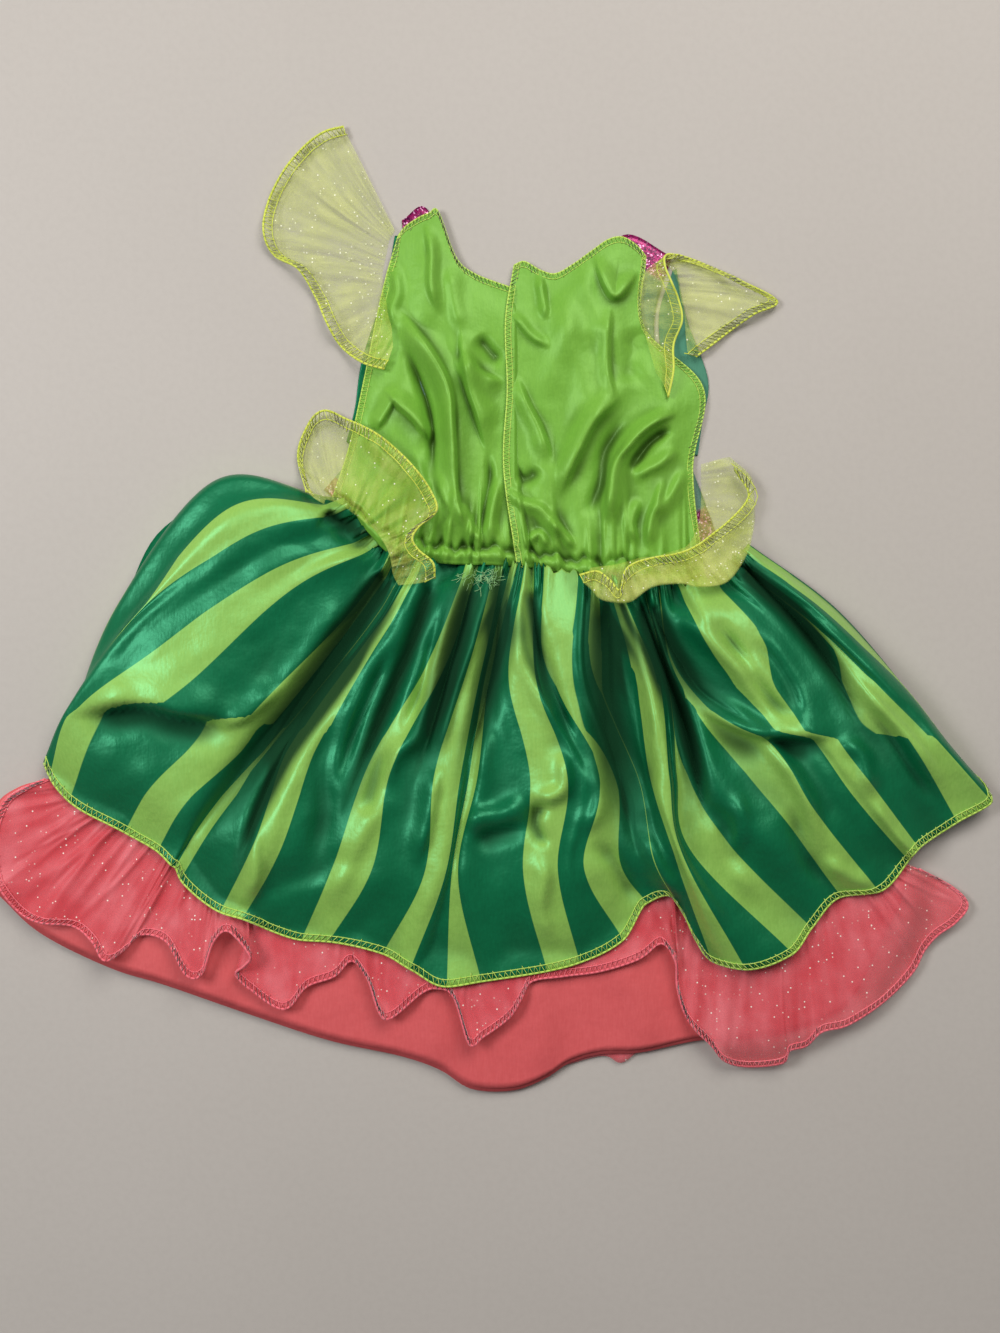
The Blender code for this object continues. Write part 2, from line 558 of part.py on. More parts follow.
def skirt_grid(across, down):
    """Mid surface of the overskirt's upper half: rows run from waist to hem."""
    cloth = np.linspace(FIRST_CLOTH, LAST_CLOTH, across)
    edges = np.array(EDGES, float)
    crossings = steady(edges[:, 0], edges[:, 1:5], cloth)
    hem = steady(edges[:, 0], edges[:, 5:7], cloth)
    spots = [along(SECTIONS[name], crossings[:, i]) for i, name in enumerate(SECTIONS)]
    spots.append(hem)
    heights = np.array(HEIGHTS, float)
    lifts = steady(heights[:, 0], heights[:, 1:6], cloth)
    shares = np.linspace(0, 1, down) ** 1.1
    stations = np.array(spots)
    flat = smooth(STATION_SHARE, stations.reshape(5, -1), shares).reshape(down, across, 2)
    lift = steady(STATION_SHARE, lifts.T, shares)
    fade = (1 - eased(shares / GATHER_REACH))[:, None]
    swing = 0.9 * np.sin(cloth / 97.0)
    gathers = GATHER_HEIGHT * np.sin(2 * np.pi * cloth / GATHER_PERIOD + swing)
    inside = eased((cloth - FIRST_CLOTH) / 60) * eased((LAST_CLOTH - cloth) / 60)
    gathers = gathers * np.clip(np.gradient(crossings[:, 0], cloth) / 0.25, 0.35, 1.0)
    return raised(flat, lift + fade * (gathers * inside)[None, :])


def waist_spots(distances, lift):
    """Points just above the line where the overskirt is gathered on."""
    here = along(SECTIONS["waist"], distances)
    ahead = along(SECTIONS["waist"], distances + 1.0) - along(SECTIONS["waist"], distances - 1.0)
    ahead /= np.linalg.norm(ahead, axis=-1, keepdims=True)
    return here + lift * np.stack([-ahead[:, 1], ahead[:, 0]], axis=-1)


def back_lines(table):
    table = np.array(table, float)
    return np.concatenate([table[:, :8], waist_spots(table[:, 8], WAIST_SEAM)], axis=1)


def bodice_grid(lines, across, down):
    lines = np.array(lines, float)
    places = np.linspace(0, len(lines) - 1, across)
    levels = smooth(np.arange(len(lines)), lines, places).reshape(across, 5, 2)
    shares = np.linspace(0, 1, down)
    grid = smooth((0.0, 0.25, 0.5, 0.75, 1.0), levels.transpose(1, 0, 2).reshape(5, -1), shares)
    return grid.reshape(down, across, 2)


def back_height(grid, side_left, creases, gathers):
    """Own height of a bodice back panel: rolled down at its side, gathered at the waist."""
    down, across = grid.shape[:2]
    side = grid[:, :1] if side_left else grid[:, -1:]
    away = np.linalg.norm(grid - side, axis=-1)
    roll = eased(away / SIDE_ROLL)
    v = np.linspace(0, 1, down)[:, None]
    u = np.linspace(0, 1, across)[None, :]
    crown = BODICE_CROWN * roll * (0.5 + 0.5 * eased(v / 0.3))
    puff = 4.0 * roll * eased((v - 0.55) / 0.35)
    pleat = 1.2 * np.sin(2 * np.pi * gathers * u) * eased((v - 0.72) / 0.22) * roll
    return crown + puff + pleat + crease_rise(grid, creases) * (0.25 + 0.75 * roll)


def frill_grid(ribs, across, down, pleats, pleat_rise):
    """Frill between its sewn and free edges, over a fold line, with its own height."""
    ribs = np.array(ribs, float)
    places = np.linspace(0, len(ribs) - 1, across)
    table = smooth(np.arange(len(ribs)), ribs[:, :6], places)
    rise = steady(np.arange(len(ribs)), ribs[:, 6], places)[:, 0]
    shares = np.linspace(0, 1, down)
    stations = table.reshape(across, 3, 2).transpose(1, 0, 2).reshape(3, -1)
    flat = steady((0.0, 0.5, 1.0), stations, shares).reshape(down, across, 2)
    wave = np.sin(2 * np.pi * pleats * np.linspace(0, 1, across))
    s = shares[:, None]
    own = rise[None, :] * s**1.3 + pleat_rise * (1 + wave[None, :]) * np.sin(np.pi * s)
    return flat, own


def ruffle_grid(across, down):
    waves = np.array(RUFFLE, float)
    places = np.linspace(0, len(waves) - 1, across)
    table = smooth(np.arange(len(waves)), waves[:, :3], places)
    rise = steady(np.arange(len(waves)), waves[:, 3], places)[:, 0]
    line = np.array(FRILL_SEAM, float)
    seam = np.stack([table[:, 0], smooth(line[:, 0], line[:, 1], table[:, 0])[:, 0]], axis=1)
    s = np.linspace(0, 1, down)[:, None]
    flat = (1 - s[..., None]) * seam[None] + s[..., None] * table[None, :, 1:3]
    return flat, rise[None, :] * s**2


def folded_over(flat, own, turn):
    """Height of a frill whose second half lies back over its first half."""
    s = np.linspace(0, 1, flat.shape[0])[:, None]
    return own * 0.4 + turn * eased((s - 0.25) / 0.4)


SATIN_LIME = (0.27, 0.60, 0.03)
SATIN_GREEN = (0.004, 0.19, 0.075)
ORGANZA = (0.55, 0.72, 0.06)
GLITTER_PINK = (0.35, 0.01, 0.14)
CORAL = (0.86, 0.12, 0.16)
CORAL_TULLE = (0.90, 0.17, 0.21)


def material(name, colour, rough, metallic=0.0):
    made = bpy.data.materials.new(name)
    made.use_nodes = True
    shader = made.node_tree.nodes["Principled BSDF"]
    shader.inputs["Base Color"].default_value = (*colour, 1.0)
    shader.inputs["Roughness"].default_value = rough
    shader.inputs["Metallic"].default_value = metallic
    made.diffuse_color = (*colour, 1.0)
    return made


def build():
    """Every sheet in the order in which it is laid on the table."""
    stack = Stack()
    sheets = {}

    def lay(name, grid):
        sheets[name] = grid
        stack.add(grid)

    lay("overskirt_front", resting(stack, patch(UNDER_WAIST, UNDER_HEM, UNDER_LEFT,
                                                UNDER_RIGHT, 18, 7)))
    lay("bodice_front", raised(bodice_grid(FRONT_LINES, 11, 8), np.full((8, 11), WALL / 2)))
    for name, lines in (("bodice_side_left", SIDE_LEFT_LINES),
                        ("bodice_side_right", SIDE_RIGHT_LINES)):
        lay(name, raised(bodice_grid(lines, 4, 9), np.full((9, 4), WALL / 2)))
    v = np.linspace(0, 1, 4)[:, None, None]
    top = by_share(FRONT_FRILL_TOP, np.linspace(0, 1, 26))
    edge = by_share(FRONT_FRILL_EDGE, np.linspace(0, 1, 26))
    lay("frill_front", level((1 - v) * top[None] + v * edge[None], 1))
    lay("lining_front", level(patch(LINING_WAIST, LINING_HEM, LINING_LEFT, LINING_RIGHT,
                                    22, 5), 2))
    flat = patch(LINING_WAIST, LINING_HEM, LINING_LEFT, LINING_RIGHT, 34, 7)
    flat[..., 1] += 2.0 * np.linspace(0, 1, 7)[:, None]
    lining_back = level(flat, 3)
    lining_back[..., 2] += crease_rise(flat, LINING_FOLDS)
    lay("lining_back", lining_back)
    flat, own = ruffle_grid(121, 6)
    lay("frill_back", resting(stack, flat, own, 5))
    skirt = skirt_grid(108, 13)
    clear = stack.under(skirt[..., :2], 2) + LAYER_GAP + WALL / 2
    skirt[..., 2] = np.maximum(skirt[..., 2], clear)

    left = bodice_grid(back_lines(BACK_LEFT_LINES), 22, 13)
    right = bodice_grid(back_lines(BACK_RIGHT_LINES), 24, 13)
    left = resting(stack, left, back_height(left, True, LEFT_CREASES, 5), 1)
    right = resting(stack, right, back_height(right, False, RIGHT_CREASES, 6), 1)
    lay("bodice_back_left", left)
    lapped = stack.under(right[..., :2], 1) + LAYER_GAP + WALL / 2
    right[..., 2] = np.maximum(right[..., 2], lapped)
    lay("bodice_back_right", right)
    lay("overskirt_back", skirt)
    flat, own = frill_grid(SLEEVE_LEFT_RIBS, 37, 5, 14, 0.8)
    lay("sleeve_frill_left", resting(stack, flat, own, 1))
    flat, own = frill_grid(SLEEVE_RIGHT_RIBS, 43, 5, 14, 0.8)
    lay("sleeve_frill_right", resting(stack, flat, own, 1))
    flat, own = frill_grid(PEPLUM_LEFT_RIBS, 43, 6, 14, 0.8)
    lay("peplum_left", resting(stack, flat, own, 2))
    flat, own = frill_grid(PEPLUM_RIGHT_RIBS, 38, 8, 12, 0.6)
    lay("peplum_right", resting(stack, flat, folded_over(flat, own, 5.0), 2))
    return sheets


SLOTS = {
    "overskirt_front": ("overskirt_under_satin", SATIN_GREEN, 0.36),
    "overskirt_back": ("overskirt_stripe_satin", (0.05, 0.32, 0.07), 0.34),
    "bodice_front": ("bodice_glitter", GLITTER_PINK, 0.5),
    "bodice_side_left": ("side_satin_left", SATIN_GREEN, 0.36),
    "bodice_side_right": ("side_satin_right", SATIN_GREEN, 0.36),
    "bodice_back_left": ("bodice_satin_left", SATIN_LIME, 0.4),
    "bodice_back_right": ("bodice_satin_right", SATIN_LIME, 0.4),
    "lining_front": ("lining_satin_under", CORAL, 0.5),
    "lining_back": ("lining_satin", CORAL, 0.5),
    "frill_front": ("glitter_tulle_under", CORAL_TULLE, 0.6),
    "frill_back": ("glitter_tulle", CORAL_TULLE, 0.6),
    "sleeve_frill_left": ("organza_sleeve_left", ORGANZA, 0.55),
    "sleeve_frill_right": ("organza_sleeve_right", ORGANZA, 0.55),
    "peplum_left": ("organza_peplum_left", ORGANZA, 0.55),
    "peplum_right": ("organza_peplum_right", ORGANZA, 0.55),
}


def clear_scene():
    for old in list(bpy.data.objects):
        bpy.data.objects.remove(old, do_unlink=True)


def main():
    clear_scene()
    holder = bpy.data.collections.new("costume_dress")
    bpy.context.scene.collection.children.link(holder)
    sheets = build()
    solids = {name: closed_sheet(grid) for name, grid in sheets.items()}
    every = np.concatenate([points for points, _ in solids.values()])
    low, high = every.min(axis=0), every.max(axis=0)
    origin = np.array([(low[0] + high[0]) / 2, (low[1] + high[1]) / 2, low[2]])
    for name, (points, faces) in solids.items():
        mesh = bpy.data.meshes.new(name)
        mesh.from_pydata(((points - origin) * 0.001).tolist(), [], faces.tolist())
        mesh.validate()
        mesh.update()
        slot, colour, rough = SLOTS[name]
        mesh.materials.append(material(slot, colour, rough))
        made = bpy.data.objects.new(name, mesh)
        holder.objects.link(made)


main()
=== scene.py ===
from collections import namedtuple

import bpy
import numpy as np
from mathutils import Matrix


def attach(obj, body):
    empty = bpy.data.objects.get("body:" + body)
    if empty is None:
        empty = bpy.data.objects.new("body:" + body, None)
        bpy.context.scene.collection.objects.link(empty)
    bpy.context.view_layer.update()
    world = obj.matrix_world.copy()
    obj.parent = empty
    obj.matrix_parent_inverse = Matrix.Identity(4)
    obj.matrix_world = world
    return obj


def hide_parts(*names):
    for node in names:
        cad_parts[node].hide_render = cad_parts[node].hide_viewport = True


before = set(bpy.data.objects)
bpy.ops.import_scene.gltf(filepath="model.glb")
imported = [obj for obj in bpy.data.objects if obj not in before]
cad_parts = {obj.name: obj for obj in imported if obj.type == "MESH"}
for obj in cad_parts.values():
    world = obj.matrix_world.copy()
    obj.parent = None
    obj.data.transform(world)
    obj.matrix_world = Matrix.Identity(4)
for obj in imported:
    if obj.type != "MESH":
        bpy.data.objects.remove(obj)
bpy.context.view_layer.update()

# A child's costume dress laid face down. Sizes are millimetres in the frame of the dress
# before its middle is moved to the origin, and become metres where a mesh is made.
MIDDLE = np.array([-1.1172302532, 0.4185120287, 0.0])
METRES = 0.001
UPWARDS = np.array([0.0, 0.0, 1.0])
CLOTH = 0.5  # thickness of a cloth as it is shown

# Sizes that the solids share
WALL = 1.0  # thickness of a cloth as a solid, which sets how the layers lie
WAIST_SEAM = 0.9  # distance of the bodice's lower edge from the line of the waist
LAYER_GAP = 0.4  # room between two cloths
LIME_STRIPE = 21.5
DARK_STRIPE = 33.5
STRIPE_PERIOD = LIME_STRIPE + DARK_STRIPE
FIRST_CLOTH = -LIME_STRIPE  # cloth distance at the left edge of the overskirt's upper half
LAST_CLOTH = 17 * STRIPE_PERIOD  # and at its right edge
FREE_EDGE = 60.0  # cloth at each side of the overskirt over which its gathers fade in
GATHER_PERIOD = 38.0  # cloth that one waist gather takes
GATHER_HEIGHT = 2.0
GATHER_REACH = 0.42  # share of the skirt's length at which the gathers have faded
ROW_SPREAD = 1.1  # rows of the overskirt lie closer at its waist than at its hem
MAP_CELL = 2.0  # cell of the height map
MAP_HALF = 330.0  # half the width of the height map
SIDE_ROLL = 24.0  # width over which the bodice's back rolls down at its side
BODICE_CROWN = 3.5  # height of the bodice's back over what it lies on

# What only the scene has
SKIRT_BODY = 29.0  # height that the petticoat lifts the overskirt towards, clear of its valleys
SKIRT_LEVELLING = 0.6  # share of the way towards that height
SKIRT_TOP = 41.0  # height that no fold of the skirt passes
SOFT_TOP = 8.0  # height below that one over which high folds are flattened
GATHER_LINE = 0.962  # share of the back's length at which elastic gathers it
WAIST_Y = 11.0  # place of the waist along the dress
WAIST_DRAW = 9.0  # how far the elastic draws the middle of the waist up
HOLLOW_DEPTH = 8.0  # depth at which a valley of the skirt is painted in full shade
LAP_EDGE = 5.0  # width over which stripes jump at a lap
VALLEY_RIM = 3.5  # how softly the cloth turns over into a deep valley
DUSK = 1.0  # how dark the painted shade beside the bottom of a deep valley is
TUCKED = 12.0  # cloth hidden on each side of the middle of a stripe that is tucked away
CAMERA_X = 3.757  # the camera stands straight above this place on the table
CAMERA_Y = -32.946
CAMERA_HEIGHT = 900.0
CAMERA_LENS = 42.05
SENSOR_WIDTH = 36.0
HEM_APART = 2.0  # how much shorter the upper half of the lining hangs than its lower half
FRAYED_SPOT = np.array([-6.0, 18.5])  # where the waist seam has frayed
FLAKES = 620.0  # scale of the fine glitter on the organza and the tulle
COARSE_FLAKES = 1150.0  # scale of the glitter on the bodice
TABLE_HALF = 3.0  # half the width of the shown table top, in metres
PHOTO_SCALE = 0.578  # millimetres on the table for a picture point of the photo
PHOTO_X = 493.5  # picture point that lies at the zero of the dress
PHOTO_Y = 609.5

Spot = namedtuple("Spot", "x y")
Edge = namedtuple("Edge", "cloth waist upper middle lower hem_x hem_y")
Height = namedtuple("Height", "cloth waist upper middle lower hem")
Line = namedtuple("Line", "top_x top_y chest_x chest_y arm_x arm_y rib_x rib_y waist_x waist_y")
BackLine = namedtuple("BackLine", "top_x top_y chest_x chest_y arm_x arm_y rib_x rib_y waist")
Crease = namedtuple("Crease", "rise width x1 y1 x2 y2 x3 y3")
Wave = namedtuple("Wave", "seam_x edge_x edge_y rise")
Rib = namedtuple("Rib", "seam_x seam_y fold_x fold_y edge_x edge_y rise")
Fold = namedtuple("Fold", "rise left right first second third last")
Lap = namedtuple("Lap", "above below start reach first second third last")
Valley = namedtuple("Valley", "floor left right dim first second third last")
Tuck = namedtuple("Tuck", "middle half y above below reach")
Course = namedtuple("Course", "away leftward share")
Cut = namedtuple("Cut", "width length area")
Cover = namedtuple("Cover", "source name materials slot")
Overlock = namedtuple("Overlock", "name source sides pitch depth radius thread seed")
Lamp = namedtuple("Lamp", "name spot turn size watts tint")

# Four lines across the laid overskirt, along which the folds are placed
SECTIONS = {
    "waist": [Spot(-95, 65), Spot(-85, 58), Spot(-70, 40), Spot(-52, 24), Spot(-30, 17),
              Spot(15, 15), Spot(62, 7), Spot(92, 11), Spot(120, 15), Spot(140, 28),
              Spot(147, 38)],
    "upper": [Spot(-161, 71), Spot(-143, 40), Spot(-117, 12), Spot(-82, -18), Spot(-37, -36),
              Spot(21, -43), Spot(85, -41), Spot(126, -32), Spot(163, -18), Spot(199, 0)],
    "middle": [Spot(-217, 3), Spot(-187, -26), Spot(-152, -58), Spot(-112, -81),
               Spot(-66, -92), Spot(-19, -96), Spot(38, -99), Spot(91, -97),
               Spot(140, -87), Spot(177, -73), Spot(212, -55), Spot(238, -42)],
    "lower": [Spot(-245, -57), Spot(-219, -81), Spot(-187, -104), Spot(-149, -130),
              Spot(-112, -144), Spot(-66, -151), Spot(-13, -155), Spot(38, -152),
              Spot(90, -144), Spot(140, -136), Spot(180, -122), Spot(215, -104),
              Spot(244, -85), Spot(264, -78)],
}
STATION_SHARE = (0.0, 0.28, 0.52, 0.77, 1.0)  # waist, the three sections, hem

# Where each stripe edge of the overskirt, and two places within a stripe, cross the sections,
# as a distance along each of them, and where they meet the hem
EDGES = [
    Edge(-21.5, 0, -2, 0, 5, -244, -84),
    Edge(0, 4, -3, 0, 4, -249, -87),
    Edge(33.5, 10, 15, 11, 1, -256, -89),
    Edge(55, 15, 34, 13, -1, -260, -88),
    Edge(88.5, 34, 59, 36, 4, -256, -98),
    Edge(110, 41, 75, 61, 27, -244, -112),
    Edge(143.5, 50, 108, 96, 67, -213, -129),
    Edge(165, 54.5, 114, 112, 88, -194, -140),
    Edge(176.5, 57, 117, 114, 96, -186, -148),
    Edge(198.5, 61, 121, 118, 101, -184, -149),
    Edge(220, 64.5, 125, 124, 108, -181, -156),
    Edge(253.5, 70, 128, 131.5, 133, -158, -175),
    Edge(275, 75, 135, 146, 148.5, -145, -179),
    Edge(308.5, 99, 166, 176.5, 180.5, -111, -191),
    Edge(330, 106, 176, 190, 203, -95, -192),
    Edge(363.5, 115, 189.5, 215, 233, -64, -199),
    Edge(385, 119.5, 198, 230, 245, -48, -208),
    Edge(418.5, 123.5, 201, 235, 249, -27, -218),
    Edge(440, 127, 204, 240, 253, -7, -215),
    Edge(473.5, 131.5, 215, 270, 290.5, 31, -209),
    Edge(495, 137, 231, 291.5, 310.5, 50, -204),
    Edge(528.5, 143, 235, 309, 325, 75, -191),
    Edge(550, 163, 256.5, 319, 345.5, 88, -170),
    Edge(583.5, 170.5, 264, 331, 363, 101, -165),
    Edge(605, 174.5, 273, 335, 370, 111, -178),
    Edge(620, 177, 281, 338, 374.5, 117, -191),
    Edge(638.5, 180, 289.5, 340.5, 379.5, 126, -203),
    Edge(660, 184.5, 301, 351, 383.5, 146, -208),
    Edge(693.5, 198, 306, 355, 389, 173, -199),
    Edge(715, 202, 308, 361, 412, 184, -184),
    Edge(748.5, 208, 312, 389, 447.5, 201, -166),
    Edge(770, 212, 318, 412, 465, 223, -163),
    Edge(803.5, 222, 344.5, 433, 488, 240, -145),
    Edge(825, 241, 370, 444, 500.5, 246, -138),
    Edge(858.5, 254, 394, 478, 533, 268, -123),
    Edge(880, 259, 399, 488.5, 548, 288, -111),
    Edge(913.5, 266, 409, 496, 552, 285, -103),
    Edge(935, 271, 413, 496, 550, 279, -97),
]

# Height of the overskirt cloth over the table along its folds
HEIGHTS = [
    Height(-21.5, 3, 3, 2.5, 2, 2),
    Height(0, 5, 12, 7.5, 4.5, 3.8),
    Height(20, 8, 22, 10, 5.6, 4.6),
    Height(33.5, 10, 27, 12, 6.6, 5.2),
    Height(55, 12, 30, 21, 9.5, 7),
    Height(72, 12, 31, 30, 15, 8.5),
    Height(88.5, 12, 33, 34, 18, 8),
    Height(110, 12, 30, 35, 17, 8),
    Height(143.5, 11, 19, 26, 14, 9),
    Height(165, 10, 11, 15, 13, 11),
    Height(176.5, 9, 8, 10, 12, 13),
    Height(198.5, 9, 8, 8, 8, 8),
    Height(220, 9, 8, 8, 8, 7.5),
    Height(240, 9.5, 10, 11, 12, 8),
    Height(258, 10, 16, 21, 19, 9),
    Height(266, 10, 17, 22, 20, 10),
    Height(275, 10, 15, 20, 18, 10),
    Height(292, 10, 14, 15, 13, 8),
    Height(308.5, 11, 16, 14, 12, 8),
    Height(320, 12, 19, 18, 15, 9),
    Height(330, 12, 18, 18, 16, 10),
    Height(345, 11, 15, 15, 14, 9),
    Height(363.5, 12, 18, 19, 17, 9),
    Height(375, 13, 21, 24, 21, 11),
    Height(385, 12, 16, 18, 16, 13),
    Height(402, 10, 9, 9, 10, 8),
    Height(418.5, 9.5, 8.5, 8, 9, 8),
    Height(440, 10, 9, 10, 10, 9),
    Height(457, 11, 13, 14, 12, 9),
    Height(473.5, 12, 17, 20, 15, 8),
    Height(484, 13, 20, 25, 18, 9),
    Height(495, 13, 19, 22, 17, 9),
    Height(512, 12, 16, 17, 14, 8),
    Height(528.5, 12, 17, 16, 12, 8),
    Height(540, 12, 18, 16, 11, 9),
    Height(550, 12, 16, 13, 10, 10),
    Height(583.5, 10, 9, 8.5, 9, 11),
    Height(605, 9.5, 8.5, 8, 10, 13),
    Height(620, 9.5, 12, 13, 14, 13),
    Height(638.5, 11, 20, 26, 22, 11),
    Height(650, 12, 25, 34, 33, 14),
    Height(660, 12, 24, 32, 33, 16),
    Height(677, 11, 15, 20, 24, 19),
    Height(693.5, 10, 10, 13, 16, 16),
    Height(715, 10, 9, 11, 13, 11),
    Height(733, 10, 10, 13, 15, 9),
    Height(748.5, 11, 13, 16, 20, 9),
    Height(760, 12, 15, 19, 22, 11),
    Height(770, 12, 15, 18, 18, 11),
    Height(790, 12, 17, 17, 14, 8),
    Height(803.5, 12, 18, 18, 14, 10),
    Height(815, 12, 20, 20, 17, 15),
    Height(825, 12, 20, 22, 17, 13),
    Height(845, 11, 17, 18, 13, 8),
    Height(858.5, 10, 12, 12, 10, 8),
    Height(869, 10, 13, 13, 11, 9),
    Height(880, 10, 17, 18, 15, 11),
    Height(895, 9, 15, 16, 13, 10),
    Height(913.5, 6, 8, 8, 7, 6),
    Height(935, 3, 3, 3, 3, 3),
]

# Flat outlines that lie on the table or between the two halves of the overskirt
UNDER_WAIST = [Spot(-92, 62), Spot(-66, 35), Spot(-30, 14), Spot(15, 12), Spot(62, 4),
               Spot(95, 8), Spot(125, 16), Spot(144, 34)]
UNDER_HEM = [Spot(-256, -84), Spot(-240, -106), Spot(-186, -138), Spot(-140, -168),
             Spot(-60, -190), Spot(0, -203), Spot(70, -180), Spot(110, -158),
             Spot(170, -178), Spot(235, -142), Spot(280, -108)]
UNDER_LEFT = [Spot(-92, 62), Spot(-150, 66), Spot(-193, 45), Spot(-215, 0), Spot(-232, -38),
              Spot(-256, -84)]
UNDER_RIGHT = [Spot(144, 34), Spot(170, 22), Spot(212, -18), Spot(238, -48), Spot(262, -84),
               Spot(280, -108)]
LINING_WAIST = [Spot(-78, 47), Spot(-50, 20), Spot(-30, 13), Spot(15, 10), Spot(62, 2),
                Spot(95, 6), Spot(112, 9)]
LINING_HEM = [Spot(-287, -164), Spot(-262, -187), Spot(-222, -207), Spot(-190, -217),
              Spot(-141, -234), Spot(-95, -249), Spot(-54, -258), Spot(-31, -266),
              Spot(-13, -277), Spot(11, -278), Spot(30, -271), Spot(44, -262), Spot(62, -257),
              Spot(85, -256), Spot(119, -249), Spot(154, -247), Spot(177, -242), Spot(199, -233)]
LINING_LEFT = [Spot(-78, 47), Spot(-128, 0), Spot(-190, -58), Spot(-245, -94),
               Spot(-274, -104), Spot(-288, -116), Spot(-291, -142), Spot(-287, -164)]
LINING_RIGHT = [Spot(112, 9), Spot(160, -22), Spot(205, -62), Spot(234, -110),
                Spot(238, -159), Spot(226, -188), Spot(210, -221), Spot(199, -233)]
LINING_FOLDS = [
    Crease(2.4, 9, -250, -150, -240, -175, -222, -206),
    Crease(2.0, 8, -170, -170, -165, -200, -150, -231),
    Crease(2.6, 9, -40, -205, -34, -235, -31, -266),
    Crease(3.0, 10, 20, -205, 28, -240, 30, -271),
    Crease(2.2, 9, 70, -200, 84, -230, 90, -256),
    Crease(2.4, 10, 150, -190, 160, -220, 165, -245),
]
FRILL_SEAM = [Spot(-236, -100), Spot(-222, -112), Spot(-199, -129), Spot(-170, -146),
              Spot(-141, -158), Spot(-112, -166), Spot(-83, -173), Spot(-54, -180),
              Spot(-25, -184), Spot(4, -186), Spot(33, -181), Spot(62, -173),
              Spot(90, -164), Spot(119, -161), Spot(142, -158), Spot(166, -153),
              Spot(189, -148), Spot(212, -144), Spot(226, -141)]

# Free edge of the glitter ruffle, wave by wave, with the place where each starts on its seam
RUFFLE = [
    Wave(-236, -259, -98, 1), Wave(-234, -273, -104, 3), Wave(-231, -283, -112, 1),
    Wave(-227, -290, -130, 3), Wave(-223, -289, -150, 1), Wave(-219, -285, -162, 3),
    Wave(-214, -274, -175, 1), Wave(-208, -262, -181, 4), Wave(-201, -243, -183, 1),
    Wave(-195, -232, -192, 4), Wave(-189, -225, -203, 6), Wave(-184, -214, -197, 3),
    Wave(-179, -204, -188, 1), Wave(-172, -189, -192, 3), Wave(-165, -178, -211, 7),
    Wave(-160, -169, -211, 6), Wave(-155, -162, -192, 6), Wave(-150, -153, -186, 8),
    Wave(-144, -141, -200, 11), Wave(-139, -144, -206, 8), Wave(-134, -149, -211, 3),
    Wave(-129, -140, -220, 2), Wave(-120, -121, -231, 5), Wave(-110, -108, -218, 3),
    Wave(-98, -92, -212, 2), Wave(-88, -82, -203, 2), Wave(-78, -73, -213, 5),
    Wave(-69, -66, -233, 7), Wave(-62, -59, -236, 5), Wave(-50, -42, -222, 2),
    Wave(-40, -33, -219, 2), Wave(-30, -23, -224, 4), Wave(-20, -14, -251, 7),
    Wave(-11, -6, -247, 6), Wave(4, 9, -236, 3), Wave(12, 16, -225, 3), Wave(20, 22, -215, 1),
    Wave(38, 40, -212, 1), Wave(60, 62, -209, 1), Wave(80, 84, -202, 2), Wave(92, 97, -193, 3),
    Wave(100, 105, -203, 6), Wave(105, 106, -217, 3), Wave(111, 110, -232, 3),
    Wave(118, 116, -242, 5), Wave(127, 126, -252, 3), Wave(136, 134, -261, 5),
    Wave(146, 147, -264, 3), Wave(158, 167, -262, 6), Wave(164, 171, -255, 5),
    Wave(172, 181, -252, 3), Wave(179, 190, -244, 5), Wave(188, 205, -240, 3),
    Wave(197, 225, -227, 5), Wave(204, 242, -210, 4), Wave(209, 249, -197, 3),
    Wave(212, 257, -188, 4), Wave(217, 267, -181, 5), Wave(220, 274, -171, 4),
    Wave(223, 266, -161, 2), Wave(225, 246, -150, 1),
]
FRONT_FRILL_TOP = [Spot(-255, -150), Spot(-180, -190), Spot(-95, -215), Spot(0, -238),
                   Spot(60, -225), Spot(119, -215), Spot(190, -200)]
FRONT_FRILL_EDGE = [Spot(-272, -170), Spot(-190, -211), Spot(-95, -243), Spot(-10, -270),
                    Spot(30, -266), Spot(62, -258), Spot(74, -262), Spot(88, -253),
                    Spot(119, -243), Spot(192, -230)]

# Bodice panels: lines that run down the panel, at five levels
FRONT_LINES = [
    Line(-53, 225, -49, 179, -55, 133, -82, 89, -98, 69),
    Line(-38, 231, -31, 179, -31, 130, -37, 81, -42, 22),
    Line(-22, 185, -16, 162, -14, 127, -11, 78, -11, 18),
    Line(15, 164, 16, 150, 18, 124, 18, 78, 18, 16),
    Line(53, 179, 50, 162, 50, 127, 53, 78, 56, 10),
    Line(74, 216, 76, 173, 82, 127, 88, 78, 93, 14),
    Line(103, 204, 93, 167, 99, 124, 115, 81, 129, 43),
]
SIDE_LEFT_LINES = [
    Line(-57, 216, -63, 185, -76, 144, -80, 117, -85, 97),
    Line(-55.8, 216, -57.5, 181, -67, 139, -75.5, 113.5, -83.7, 95.8),
    Line(-54.4, 216, -52, 179, -58.5, 134, -71, 110, -82, 94.5),
]
SIDE_RIGHT_LINES = [
    Line(103.6, 196, 95.5, 167, 101, 124, 108, 104, 114.6, 89),
    Line(104.4, 196, 104, 168, 113, 128, 115, 106, 116.2, 89),
    Line(105.6, 197, 112, 167, 124, 133, 121, 110, 118, 89),
]
